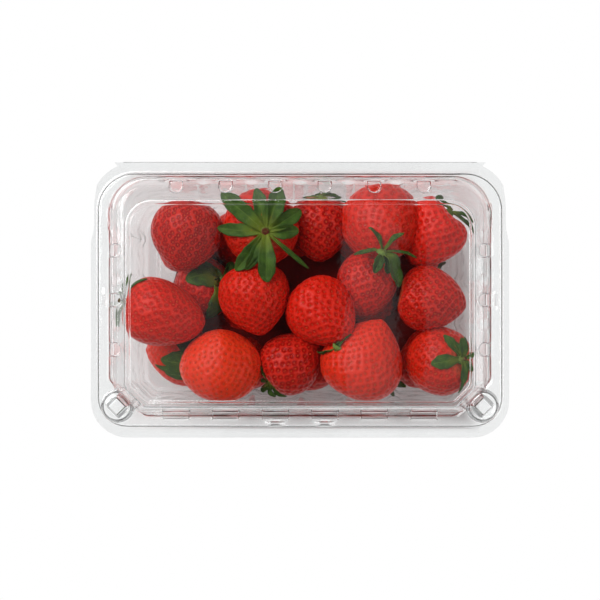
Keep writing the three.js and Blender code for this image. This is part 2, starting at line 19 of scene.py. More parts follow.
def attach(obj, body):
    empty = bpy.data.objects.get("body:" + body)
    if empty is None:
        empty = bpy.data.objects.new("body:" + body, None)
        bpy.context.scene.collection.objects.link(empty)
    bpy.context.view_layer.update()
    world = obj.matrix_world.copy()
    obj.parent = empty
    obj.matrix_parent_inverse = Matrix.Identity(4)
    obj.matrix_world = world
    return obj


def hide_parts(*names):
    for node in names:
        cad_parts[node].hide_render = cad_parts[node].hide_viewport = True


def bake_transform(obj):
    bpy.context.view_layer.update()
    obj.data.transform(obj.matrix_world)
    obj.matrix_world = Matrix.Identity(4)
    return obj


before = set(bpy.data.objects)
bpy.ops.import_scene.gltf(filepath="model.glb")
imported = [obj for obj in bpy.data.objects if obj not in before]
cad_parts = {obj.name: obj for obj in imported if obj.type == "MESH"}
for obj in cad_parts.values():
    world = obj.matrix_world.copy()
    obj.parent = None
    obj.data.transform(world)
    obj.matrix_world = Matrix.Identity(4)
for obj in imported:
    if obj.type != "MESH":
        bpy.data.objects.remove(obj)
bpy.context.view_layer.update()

LOG = logging.getLogger("punnet")
MM = 0.001
Triple = tuple[float, float, float]
GOLDEN_ANGLE = math.pi * (3 - math.sqrt(5))
TINY = 1e-6  # lengths and shares below this count as nothing


class Body(Enum):
    """The frame's two bodies."""

    TRAY = "tray"
    LID = "lid"


class Slot(Enum):
    """The record's material slots."""

    FILM = "clear_film"
    FRUIT = "fruit"
    SEED = "seed"
    LEAF = "leaf"


class Join(Enum):
    """What a tool solid does to an object."""

    ADD = "UNION"
    CUT = "DIFFERENCE"


# ---- Small helpers ---------------------------------------------------------------------------


def smooth(low: float, high: float, value: np.ndarray) -> np.ndarray:
    """Eases from 0 at low to 1 at high."""
    t = np.clip((value - low) / (high - low), 0, 1)
    return t * t * (3 - 2 * t)


def unit(vectors: np.ndarray) -> np.ndarray:
    """Scales each row to length one."""
    return vectors / np.maximum(np.linalg.norm(vectors, axis=-1, keepdims=True), 1e-9)


def spaced(stops: list[float], step: float) -> list[float]:
    """Fills in between rising or falling stops.

    Args:
        stops: values that are all kept.
        step: the widest gap that is left between two values.

    Returns:
        The stops with evenly spaced values between them.
    """
    filled = [stops[0]]
    for here, there in zip(stops, stops[1:]):
        count = max(1, math.ceil(abs(there - here) / step - TINY))
        filled += [here + (there - here) * (i + 1) / count for i in range(count)]
    return filled


def place(name: str, data: bpy.types.ID) -> Object:
    """Makes an object of a mesh, a lamp or a camera, and links it to the scene.

    Args:
        name: the object's name.
        data: the mesh, lamp or camera.

    Returns:
        The new object.
    """
    thing = bpy.data.objects.new(name, data)
    bpy.context.scene.collection.objects.link(thing)
    return thing


def mesh_object(name: str, points: np.ndarray, faces: list) -> Object:
    """Makes a smooth-shaded mesh object at the origin.

    Args:
        name: the object's name.
        points: vertex places in millimetres.
        faces: tuples or rows of vertex numbers.

    Returns:
        The new object, linked to the scene.
    """
    mesh = bpy.data.meshes.new(name)
    mesh.from_pydata((np.asarray(points) * MM).tolist(), [], [tuple(map(int, f)) for f in faces])
    mesh.shade_smooth()
    return place(name, mesh)


def settle(thing: Object) -> Object:
    """Turns an object with modifiers into a plain mesh.

    Args:
        thing: the object.

    Returns:
        The same object.
    """
    view = bpy.context.evaluated_depsgraph_get()
    mesh = bpy.data.meshes.new_from_object(thing.evaluated_get(view), depsgraph=view)
    thing.modifiers.clear()
    old, thing.data = thing.data, mesh
    mesh.name = thing.name
    bpy.data.meshes.remove(old)
    return thing


def give_thickness(thing: Object, thickness: float, offset: float) -> Object:
    """Gives a sheet its thickness and closes its rims.

    Args:
        thing: the sheet.
        thickness: the wall's thickness in millimetres.
        offset: -1 for a wall behind the sheet, 0 for a wall on both its sides.

    Returns:
        The same object.
    """
    solidify = thing.modifiers.new("wall", "SOLIDIFY")
    solidify.thickness = thickness * MM
    solidify.offset = offset
    solidify.use_even_offset = False
    solidify.use_rim = True
    return settle(thing)


def combine(thing: Object, tool: Object, join: Join) -> None:
    """Joins a tool solid to an object or cuts it away.

    Args:
        thing: the object that changes.
        tool: the solid, which is removed afterwards.
        join: what the solid does.
    """
    boolean = thing.modifiers.new("shape", "BOOLEAN")
    boolean.operation = join.value
    boolean.solver = "MANIFOLD"
    boolean.object = tool
    settle(thing)
    bpy.data.objects.remove(tool)


def add_attribute(mesh: Mesh, name: str, values: np.ndarray) -> None:
    """Stores an attribute of the vertices.

    Args:
        mesh: the mesh.
        name: the attribute's name.
        values: one number, or one row of three, for each vertex.
    """
    flat = np.asarray(values, np.float32)
    kind, key = ("FLOAT_VECTOR", "vector") if flat.ndim == 2 else ("FLOAT", "value")
    mesh.attributes.new(name, kind, "POINT").data.foreach_set(key, flat.ravel())


def face_outwards(thing: Object) -> None:
    """Turns the faces of a closed mesh outwards.

    Args:
        thing: the object.
    """
    edit = bmesh.new()
    edit.from_mesh(thing.data)
    bmesh.ops.recalc_face_normals(edit, faces=edit.faces)
    edit.to_mesh(thing.data)
    edit.free()


def grid_quads(rows: int, columns: int) -> np.ndarray:
    """Numbers the quads of a grid of points.

    Args:
        rows: how many quads it has along its first side.
        columns: how many it has along its second side.

    Returns:
        Four vertex numbers for each quad.
    """
    cell = np.arange((rows + 1) * (columns + 1)).reshape(rows + 1, columns + 1)
    return np.stack([cell[:-1, :-1], cell[1:, :-1], cell[1:, 1:], cell[:-1, 1:]], -1).reshape(-1, 4)


def stack_faces(rings: int, sides: int, first: int = 0) -> list[tuple[int, ...]]:
    """Numbers the faces of a stack of equal rings with a cap at both ends.

    Args:
        rings: how many rings there are.
        sides: how many points each ring has.
        first: the number of the first point.

    Returns:
        The quads between the rings, then the first ring's cap and the last one's.
    """
    faces = []
    for low in range(first, first + (rings - 1) * sides, sides):
        high = low + sides
        faces += [(low + i, low + (i + 1) % sides, high + (i + 1) % sides, high + i) for i in range(sides)]
    last = first + (rings - 1) * sides
    return faces + [tuple(reversed(range(first, first + sides))), tuple(range(last, last + sides))]


# ---- Shader groups and finishes --------------------------------------------------------------


class NodeSheet:
    """A node tree with short calls for adding and linking nodes."""

    MIX_INPUTS = (0, 6, 7)  # a Mix node's factor and its two colours
    MIX_RESULT = 2

    def __init__(self, tree: NodeTree) -> None:
        """Wraps a tree."""
        self.tree = tree

    def node(self, kind: str, values: dict | None = None, **settings: object) -> Node:
        """Adds a node.

        Args:
            kind: the node's type.
            values: what its inputs get, a value or a socket, by socket name or number.
            settings: properties of the node itself.

        Returns:
            The new node.
        """
        made = self.tree.nodes.new(kind)
        for key, value in settings.items():
            setattr(made, key, value)
        for key, value in (values or {}).items():
            self.feed(made.inputs[key], value)
        return made

    def feed(self, target: NodeSocket, value: object) -> None:
        """Links a socket to an input, or sets the input's own value."""
        if isinstance(value, NodeSocket):
            self.tree.links.new(value, target)
        else:
            target.default_value = value

    def math(self, operation: str, first: object, second: object = None) -> NodeSocket:
        """Adds a Math node.

        Args:
            operation: what it works out.
            first: its first input, a socket or a number.
            second: its second input, where it has one.

        Returns:
            Its result.
        """
        values = {0: first} if second is None else {0: first, 1: second}
        return self.node("ShaderNodeMath", values, operation=operation).outputs[0]

    def mix(self, factor: object, first: object, second: object) -> NodeSocket:
        """Mixes two colours.

        Args:
            factor: the second colour's share, a socket or a number.
            first: the first colour, or its socket.
            second: the second colour, or its socket.

        Returns:
            The mixed colour.
        """
        colours = [(*value, 1) if isinstance(value, tuple) else value for value in (first, second)]
        values = dict(zip(self.MIX_INPUTS, (factor, *colours)))
        return self.node("ShaderNodeMix", values, data_type="RGBA").outputs[self.MIX_RESULT]

    def blend(self, share: object, first: Node, second: Node) -> NodeSocket:
        """Mixes two shaders by the second one's share."""
        values = {0: share, 1: first.outputs[0], 2: second.outputs[0]}
        return self.node("ShaderNodeMixShader", values).outputs[0]

    def split(self, output: str) -> bpy.types.NodeOutputs:
        """The x, y and z of one of Texture Coordinate's outputs."""
        where = self.node("ShaderNodeTexCoord").outputs[output]
        return self.node("ShaderNodeSeparateXYZ", {0: where}).outputs

    def reading(self, name: str) -> NodeSocket:
        """Reads an attribute of the mesh."""
        return self.node("ShaderNodeAttribute", attribute_name=name).outputs["Fac"]


def empty_sheet(owner: Material | World) -> NodeSheet:
    """Gives a material or a world an empty node tree.

    Args:
        owner: the material or the world.

    Returns:
        Its nodes.
    """
    owner.use_nodes = True
    owner.node_tree.nodes.clear()
    return NodeSheet(owner.node_tree)


def start_group(name: str, kind: str, inputs: dict[str, str], output: tuple[str, str]) -> tuple:
    """Makes an empty node group.

    Args:
        name: the group's name.
        kind: the tree's type.
        inputs: the type of each input by its label.
        output: the output's label and type.

    Returns:
        Its nodes, its input node, its output node and each input's identifier by its label.
    """
    tree = bpy.data.node_groups.new(name, kind)
    face, names = tree.interface, {}
    for label, socket in inputs.items():
        made = face.new_socket(label, in_out="INPUT", socket_type=f"NodeSocket{socket}")
        names[label] = made.identifier
    face.new_socket(output[0], in_out="OUTPUT", socket_type=f"NodeSocket{output[1]}")
    sheet = NodeSheet(tree)
    return sheet, sheet.node("NodeGroupInput"), sheet.node("NodeGroupOutput"), names


def grain_tree() -> NodeTree:
    """Builds the group that gives soft noise at a size in metres.

    Returns:
        The group, whose mask goes from 0 to 1.
    """
    inputs = dict.fromkeys(("Size", "Detail", "Contrast"), "Float")
    sheet, given, result, _ = start_group("soft_grain", "ShaderNodeTree", inputs, ("Mask", "Float"))
    noise = sheet.node("ShaderNodeTexNoise", {
        "Vector": sheet.node("ShaderNodeTexCoord").outputs["Object"],
        "Scale": sheet.math("DIVIDE", 1.0, given.outputs["Size"]),
        "Detail": given.outputs["Detail"], "Roughness": 0.55})
    centred = sheet.math("SUBTRACT", noise.outputs[0], 0.5)
    spread = sheet.math("MULTIPLY", centred, given.outputs["Contrast"])
    clamp = sheet.node("ShaderNodeClamp", {"Value": sheet.math("ADD", spread, 0.5)})
    sheet.feed(result.inputs[0], clamp.outputs[0])
    return sheet.tree


@dataclass(frozen=True)
class Grain:
    """Soft noise over a surface: its size in metres, its detail and its contrast."""

    size: float
    detail: float = 2.0
    contrast: float = 1.0

    def place(self, sheet: NodeSheet) -> NodeSocket:
        """Places the noise in a material.

        Args:
            sheet: the material's nodes.

        Returns:
            The noise, from 0 to 1.
        """
        tree = bpy.data.node_groups.get("soft_grain") or grain_tree()
        values = {"Size": self.size, "Detail": self.detail, "Contrast": self.contrast}
        return sheet.node("ShaderNodeGroup", values, node_tree=tree).outputs["Mask"]


@dataclass(frozen=True)
class Band:
    """A value that goes straight from start to end while a reading goes from low to high."""

    low: float
    high: float
    start: float = 0.0
    end: float = 1.0

    def place(self, sheet: NodeSheet, reading: NodeSocket) -> NodeSocket:
        """Places the band in a node tree.

        Args:
            sheet: the tree's nodes.
            reading: what it reads.

        Returns:
            The value.
        """
        return sheet.node("ShaderNodeMapRange", {
            "Value": reading, "From Min": self.low, "From Max": self.high,
            "To Min": self.start, "To Max": self.end}).outputs[0]


def bumped(sheet: NodeSheet, height: NodeSocket, depth: float) -> NodeSocket:
    """Raises a surface by a height.

    Args:
        sheet: the material's nodes.
        height: the height, from 0 to 1.
        depth: how far a height of 1 rises, in metres.

    Returns:
        The surface's normal.
    """
    return sheet.node("ShaderNodeBump", {"Height": height, "Strength": 1.0, "Distance": depth}).outputs[0]


@dataclass(frozen=True)
class Finish:
    """What every finish has: a name, and a make method that builds its material."""

    name: str

    def start(self) -> tuple[NodeSheet, Material]:
        """Makes the empty material.

        Returns:
            Its nodes, and the material.
        """
        material = bpy.data.materials.new(self.name)
        return empty_sheet(material), material

    def close(self, sheet: NodeSheet, shader: NodeSocket) -> None:
        """Links the shader to the material's output."""
        sheet.node("ShaderNodeOutputMaterial", {"Surface": shader})


@dataclass(frozen=True)
class ClearFilm(Finish):
    """Clear thermoformed film, which light passes through to the fruit."""

    tone: Triple = (0.985, 0.99, 0.99)
    refraction: float = 1.57
    roughness: float = 0.03
    waves: Grain = Grain(0.022, 1.0)
    wave_depth: float = 0.00008
    lines: Grain = Grain(0.0035)
    line_depth: float = 0.000012
    passed: float = 0.93

    def make(self) -> Material:
        """Builds the material.

        Returns:
            The film, which lets shadow rays and scattered light pass as if it were air.
        """
        sheet, material = self.start()
        lines = sheet.math("MULTIPLY", self.lines.place(sheet), self.line_depth / self.wave_depth)
        height = sheet.math("ADD", self.waves.place(sheet), lines)
        shader = sheet.node("ShaderNodeBsdfPrincipled", {
            "Base Color": (*self.tone, 1), "Roughness": self.roughness, "IOR": self.refraction,
            "Transmission Weight": 1.0, "Normal": bumped(sheet, height, self.wave_depth)})
        path = sheet.node("ShaderNodeLightPath")
        passing = sheet.math("MAXIMUM", path.outputs["Is Shadow Ray"], path.outputs["Is Diffuse Ray"])
        clear = sheet.node("ShaderNodeBsdfTransparent", {"Color": (*[self.passed] * 3, 1)})
        self.close(sheet, sheet.blend(passing, shader, clear))
        return material


@dataclass(frozen=True)
class FruitSkin(Finish):
    """Ripe strawberry skin, deep to orange red, paler at the stalk, with painted pit shade and ridge
    highlight.
    """

    deep: Triple = (0.28, 0.001, 0.001)
    bright: Triple = (0.86, 0.008, 0.001)
    pale: Triple = (0.78, 0.16, 0.06)
    orange: Triple = (0.82, 0.062, 0.012)
    # rim is a painted highlight on the ridges between the pits
    rim: Triple = (0.84, 0.040, 0.022)
    # pit is painted shade in the pits round each seed
    pit: Triple = (0.30, 0.001, 0.002)
    mottle: Grain = Grain(0.006, 3.0, 1.4)
    mottle_share: float = 0.5
    pale_share: float = 0.7
    # ridge sets where the painted ridge highlight shows, away from the seeds
    ridge: Band = Band(0.16, 0.02, 0.0, 0.5)
    # pit_shade and pit_fade set how dark the painted pit shade is, less on blushed berries
    pit_shade: float = 0.75
    pit_fade: float = 0.45
    gloss: float = 0.13
    gloss_roughness: float = 0.3
    gloss_spread: float = 0.12
    cells: Grain = Grain(0.0009)
    cell_depth: float = 0.00012
    scatter: float = 0.18
    scatter_tone: Triple = (1.0, 0.12, 0.06)
    scatter_depth: float = 0.0025

    def make(self) -> Material:
        """Builds the material.

        Returns:
            The skin, which reads the blush, warmth, stalkward and pit attributes.
        """
        sheet, material = self.start()
        blush, warmth, stalkward, pit = map(sheet.reading, ("blush", "warmth", "stalkward", "pit"))
        mottle = self.mottle.place(sheet)
        uneven = sheet.math("MULTIPLY", sheet.math("SUBTRACT", mottle, 0.5), self.mottle_share)
        tone = sheet.math("ADD", blush, uneven)
        tone.node.use_clamp = True
        red = sheet.mix(tone, self.deep, self.bright)
        skin = sheet.mix(sheet.math("MULTIPLY", warmth, tone), red, self.orange)
        near_stalk = sheet.mix(sheet.math("MULTIPLY", stalkward, self.pale_share), skin, self.pale)
        # painted highlight on the ridges between the pits
        ridge_highlighted = sheet.mix(self.ridge.place(sheet, pit), near_stalk, self.rim)
        # painted shade in the pits, weaker on blushed berries
        shade = sheet.math("SUBTRACT", self.pit_shade, sheet.math("MULTIPLY", blush, self.pit_fade))
        least = self.gloss_roughness - self.gloss_spread / 2
        shader = sheet.node("ShaderNodeBsdfPrincipled", {
            "Base Color": sheet.mix(sheet.math("MULTIPLY", pit, shade), ridge_highlighted, self.pit),
            "Roughness": sheet.math("ADD", sheet.math("MULTIPLY", mottle, self.gloss_spread), least),
            "Specular IOR Level": self.gloss, "Subsurface Weight": self.scatter,
            "Subsurface Radius": self.scatter_tone, "Subsurface Scale": self.scatter_depth,
            "Normal": bumped(sheet, self.cells.place(sheet), self.cell_depth)})
        self.close(sheet, shader.outputs[0])
        return material


@dataclass(frozen=True)
class ShadedCoreFruit(Finish):
    """The heap's hidden middle: fruit red made darker as painted shade in the gaps between berries."""

    # fruit red darkened as painted shade for the gaps between the berries
    tone: Triple = (0.16, 0.005, 0.004)
    gloss: float = 0.1
    roughness: float = 0.7
    lumps: Grain = Grain(0.003)
    lump_depth: float = 0.0006

    def make(self) -> Material:
        """Builds the material.

        Returns:
            The dark red.
        """
        sheet, material = self.start()
        shader = sheet.node("ShaderNodeBsdfPrincipled", {
            "Base Color": (*self.tone, 1), "Roughness": self.roughness, "Specular IOR Level": self.gloss,
            "Normal": bumped(sheet, self.lumps.place(sheet), self.lump_depth)})
        self.close(sheet, shader.outputs[0])
        return material


@dataclass(frozen=True)
class SeedCoat(Finish):
    """Dry seeds, from straw yellow to red brown."""

    straw: Triple = (0.60, 0.078, 0.020)
    russet: Triple = (0.50, 0.024, 0.008)
    gloss: float = 0.12
    roughness: float = 0.5
    ribs: Grain = Grain(0.0004)
    rib_depth: float = 0.00003

    def make(self) -> Material:
        """Builds the material.

        Returns:
            The coat, which reads each seed's ripeness attribute.
        """
        sheet, material = self.start()
        shader = sheet.node("ShaderNodeBsdfPrincipled", {
            "Base Color": sheet.mix(sheet.reading("ripeness"), self.straw, self.russet),
            "Roughness": self.roughness, "Specular IOR Level": self.gloss,
            "Normal": bumped(sheet, self.ribs.place(sheet), self.rib_depth)})
        self.close(sheet, shader.outputs[0])
        return material


@dataclass(frozen=True)
class LeafGreen(Finish):
    """Matt calyx leaves with a paler base, a midrib and side veins."""

    base: Triple = (0.19, 0.23, 0.018)
    blade: Triple = (0.065, 0.135, 0.012)
    dark: Triple = (0.014, 0.042, 0.006)
    vein: Triple = (0.12, 0.19, 0.03)
    patches: Grain = Grain(0.0032, 3.0, 2.4)
    dark_edge: Band = Band(0.16, 0.5, 0.0, 0.75)
    pale_base: Band = Band(0.05, 0.42, 0.9, 0.0)
    midrib: Band = Band(0.0, 0.045, 0.7, 0.0)
    side_vein: Band = Band(0.8, 1.0, 0.0, 0.35)
    side_veins: float = 11.0
    vein_slant: float = 0.9
    gloss: float = 0.2
    roughness: float = 0.6
    hairs: Grain = Grain(0.0008)
    hair_depth: float = 0.0001
    scatter: float = 0.08
    scatter_tone: Triple = (0.4, 1.0, 0.2)
    scatter_depth: float = 0.0008

    def make(self) -> Material:
        """Builds the material.

        Returns:
            The green, whose UV map runs along the leaf and from edge to edge.
        """
        sheet, material = self.start()
        uv = sheet.node("ShaderNodeUVMap", uv_map="leaf").outputs[0]
        along, across, _ = sheet.node("ShaderNodeSeparateXYZ", {0: uv}).outputs
        side = sheet.math("ABSOLUTE", sheet.math("SUBTRACT", across, 0.5))
        shade = sheet.math("MAXIMUM", self.patches.place(sheet), self.dark_edge.place(sheet, side))
        green = sheet.mix(shade, self.blade, self.dark)
        toned = sheet.mix(self.pale_base.place(sheet, along), green, self.base)
        slanted = sheet.math("SUBTRACT", along, sheet.math("MULTIPLY", side, self.vein_slant))
        wave = sheet.math("SINE", sheet.math("MULTIPLY", slanted, 2 * math.pi * self.side_veins))
        veins = sheet.math("MAXIMUM", self.midrib.place(sheet, side), self.side_vein.place(sheet, wave))
        height = sheet.math("ADD", sheet.math("MULTIPLY", veins, -1.0), self.hairs.place(sheet))
        shader = sheet.node("ShaderNodeBsdfPrincipled", {
            "Base Color": sheet.mix(veins, toned, self.vein), "Roughness": self.roughness,
            "Specular IOR Level": self.gloss, "Subsurface Weight": self.scatter,
            "Subsurface Radius": self.scatter_tone, "Subsurface Scale": self.scatter_depth,
            "Normal": bumped(sheet, height, self.hair_depth)})
        self.close(sheet, shader.outputs[0])
        return material


@dataclass(frozen=True)
class StalkWood(Finish):
    """Stalk stubs: green skin, browned at the torn end."""

    green: Triple = (0.16, 0.24, 0.05)
    torn: Triple = (0.10, 0.016, 0.008)
    gloss: float = 0.15
    roughness: float = 0.7
    flecks: Grain = Grain(0.0012, 2.0, 1.5)
    fleck_depth: float = 0.0001

    def make(self) -> Material:
        """Builds the material.

        Returns:
            The stalk's finish, which reads the torn attribute.
        """
        sheet, material = self.start()
        flecks = self.flecks.place(sheet)
        browned = sheet.math("MULTIPLY", sheet.reading("torn"), sheet.math("ADD", flecks, 0.5))
        shader = sheet.node("ShaderNodeBsdfPrincipled", {
            "Base Color": sheet.mix(browned, self.green, self.torn), "Roughness": self.roughness,
            "Specular IOR Level": self.gloss, "Normal": bumped(sheet, flecks, self.fleck_depth)})
        self.close(sheet, shader.outputs[0])
        return material


# ---- Film: levels, stations and skins --------------------------------------------------------

MOST_ROUNDED = 0.45  # the most of a straight stretch that one rounded corner takes up


@dataclass(frozen=True)
class Level:
    """One level of the pack: a rectangle with round back corners and cut, eased front corners."""

    z: float
    half_length: float
    back: float
    front: float
    back_radius: float
    cut: float
    ease: float

    def values(self) -> np.ndarray:
        """The level as a row of numbers."""
        return np.array([self.z, self.half_length, self.back, self.front,
                         self.back_radius, self.cut, self.ease])


def rounded_profile(levels: list[Level], radii: list[float], steps: int, reach: float) -> np.ndarray:
    """Rounds the corners of a profile of levels and fills its straight stretches.

    Args:
        levels: the profile's corners, in order.
        radii: how far along both stretches each corner is rounded.
        steps: how many pieces each rounded corner has.
        reach: the longest straight step that is left.

    Returns:
        One row of level values for each ring.
    """
    corners = np.array([level.values() for level in levels])

    def gap(a: np.ndarray, b: np.ndarray) -> float:
        """The length of a straight stretch, by its height and its widest move inwards."""
        return float(np.hypot(b[0] - a[0], np.abs(b[1:4] - a[1:4]).max()))

    rows = [corners[0]]
    for before, corner, after, radius in zip(corners, corners[1:], corners[2:], radii[1:]):
        if radius <= 0:
            rows.append(corner)
            continue
        start = corner + (before - corner) * min(radius / gap(before, corner), MOST_ROUNDED)
        end = corner + (after - corner) * min(radius / gap(corner, after), MOST_ROUNDED)
        for t in np.linspace(0, 1, steps + 1):
            rows.append((1 - t) ** 2 * start + 2 * t * (1 - t) * corner + t * t * end)
    rows.append(corners[-1])
    filled = [rows[0]]
    for here, there in zip(rows, rows[1:]):
        count = max(1, math.ceil(gap(here, there) / reach - TINY))
        filled += [here + (there - here) * (i + 1) / count for i in range(count)]
    return np.array(filled)


@dataclass(frozen=True)
class Stations:
    """Where a ring has points along its right half: fixed places on its straight runs.

    The front and back lists hold x from the middle outwards, the side list holds y from front to
    back. Between the last fixed place and the corner the points are spread evenly.
    """

    front: tuple[float, ...]
    side: tuple[float, ...]
    back: tuple[float, ...]
    ramp: int = 4
    corner: int = 12
    ease: int = 4

    def ring(self, row: np.ndarray) -> np.ndarray:
        """Places the points of one ring.

        Args:
            row: the level's values.

        Returns:
            Rows of x and y, counter-clockwise from the middle of the front.
        """
        _, half_length, back, front, radius, cut, ease = row
        lead = ease * math.tan(math.pi / 8)
        front_end, side_start = half_length - cut - lead, cut + lead - front
        side_end, back_start = back - radius, half_length - radius
        spread = np.linspace(0, 1, self.ramp + 1)[1:-1]

        def arc(x: float, y: float, r: float, first: float, last: float, count: int) -> list:
            """The points of an arc between two angles in degrees, both ends included."""
            angles = np.radians(np.linspace(first, last, count + 1))
            return [(x + r * math.cos(a), y + r * math.sin(a)) for a in angles]

        right = [(x, -front) for x in self.front]
        right += [(self.front[-1] + (front_end - self.front[-1]) * t, -front) for t in spread]
        right += arc(front_end, ease - front, ease, -90, -45, self.ease)
        last, first = right[-1], arc(half_length - ease, side_start, ease, -45, 0, self.ease)
        right += [(last[0] + (first[0][0] - last[0]) * t, last[1] + (first[0][1] - last[1]) * t)
                  for t in spread]
        right += first
        right += [(half_length, side_start + (self.side[0] - side_start) * t) for t in spread]
        right += [(half_length, y) for y in self.side]
        right += [(half_length, self.side[-1] + (side_end - self.side[-1]) * t) for t in spread]
        right += arc(back_start, side_end, radius, 0, 90, self.corner)
        right += [(back_start + (self.back[-1] - back_start) * t, back) for t in spread]
        right += [(x, back) for x in reversed(self.back)]
        left = [(-x, y) for x, y in reversed(right[1:-1])]
        return np.array(right + left)


class FilmSkin:
    """One face of a formed film: a grid of rings, with the places where faces are left out."""

    def __init__(self, rows: np.ndarray, stations: Stations) -> None:
        """Places every ring's points.

        Args:
            rows: one row of level values for each ring.
            stations: where the rings have points.
        """
        rings = np.array([stations.ring(row) for row in rows])
        heights = np.broadcast_to(rows[:, :1], rings.shape[:2])
        self.points = np.concatenate([rings, heights[..., None]], axis=-1)
        self.left_out = np.zeros((len(rows) - 1, self.points.shape[1]), bool)

    def centres(self) -> np.ndarray:
        """Finds the middle of each grid face.

        Returns:
            One place for each face of each row of the grid.
        """
        p = self.points
        q = np.roll(p, -1, axis=1)
        return (p[:-1] + p[1:] + q[:-1] + q[1:]) / 4

    def leave_out(self, inside: np.ndarray) -> None:
        """Opens the film at the grid faces where the mask is true."""
        self.left_out |= inside

    def build(self, name: str, outward: bool, holes: list[np.ndarray]) -> Object:
        """Makes the mesh, with a flat panel in the last ring.

        Args:
            name: the object's name.
            outward: whether faces in ring order already look outwards.
            holes: closed outlines, as rows of x and y, that the panel leaves open.

        Returns:
            The object, one open sheet.
        """
        count, around = self.points.shape[:2]
        index = np.arange(count * around).reshape(count, around)
        after = np.roll(index, -1, axis=1)
        quads = np.stack([index[:-1], after[:-1], after[1:], index[1:]], axis=-1)[~self.left_out]
        if not outward:
            quads = quads[:, ::-1]
        points = self.points.reshape(-1, 3)
        thing = mesh_object(name, points, list(quads))
        edit = bmesh.new()
        edit.from_mesh(thing.data)
        edit.verts.ensure_lookup_table()
        rim = [edit.verts[i] for i in index[-1]]
        edges = [edit.edges.get((a, b)) or edit.edges.new((a, b)) for a, b in zip(rim, rim[1:] + rim[:1])]
        panel = self.points[-1, 0, 2]
        for outline in holes:
            loop = [edit.verts.new(Vector((x, y, panel)) * MM) for x, y in outline]
            edges += [edit.edges.new((a, b)) for a, b in zip(loop, loop[1:] + loop[:1])]
        up = 1 if outward else -1
        bmesh.ops.triangle_fill(edit, use_beauty=True, edges=edges, normal=(0, 0, up))
        loose = [v for v in edit.verts if not v.link_faces]
        bmesh.ops.delete(edit, geom=loose, context="VERTS")
        edit.to_mesh(thing.data)
        edit.free()
        return thing


@dataclass(frozen=True)
class Boss:
    """A drafted boss with an eased top edge and foot; its radii are taken over its corners."""

    sides: int
    radius: float
    draft: float
    bottom: float
    top: float
    bevel: float

    def rings(self) -> list[tuple[float, float]]:
        """Its radius and height at each ring, with the foot eased by a sixth of the bevel.

        Returns:
            The rings from the bottom up.
        """
        tip, bevel = self.radius - self.draft, self.bevel
        rings = [(self.radius + bevel / 6, self.bottom), (self.radius, self.bottom + bevel / 2),
                 (tip, self.top - bevel)]
        return rings + [(tip - bevel * (1 - math.cos(a)), self.top - bevel * (1 - math.sin(a)))
                        for a in np.radians([30, 60, 90])]

    def hollow(self, film: float) -> "Boss":
        """The boss's inside, for a film of the given thickness."""
        return Boss(self.sides, self.radius - film / math.cos(math.pi / self.sides), self.draft,
                    self.bottom - 3 * film, self.top - film, 0.8 * self.bevel)


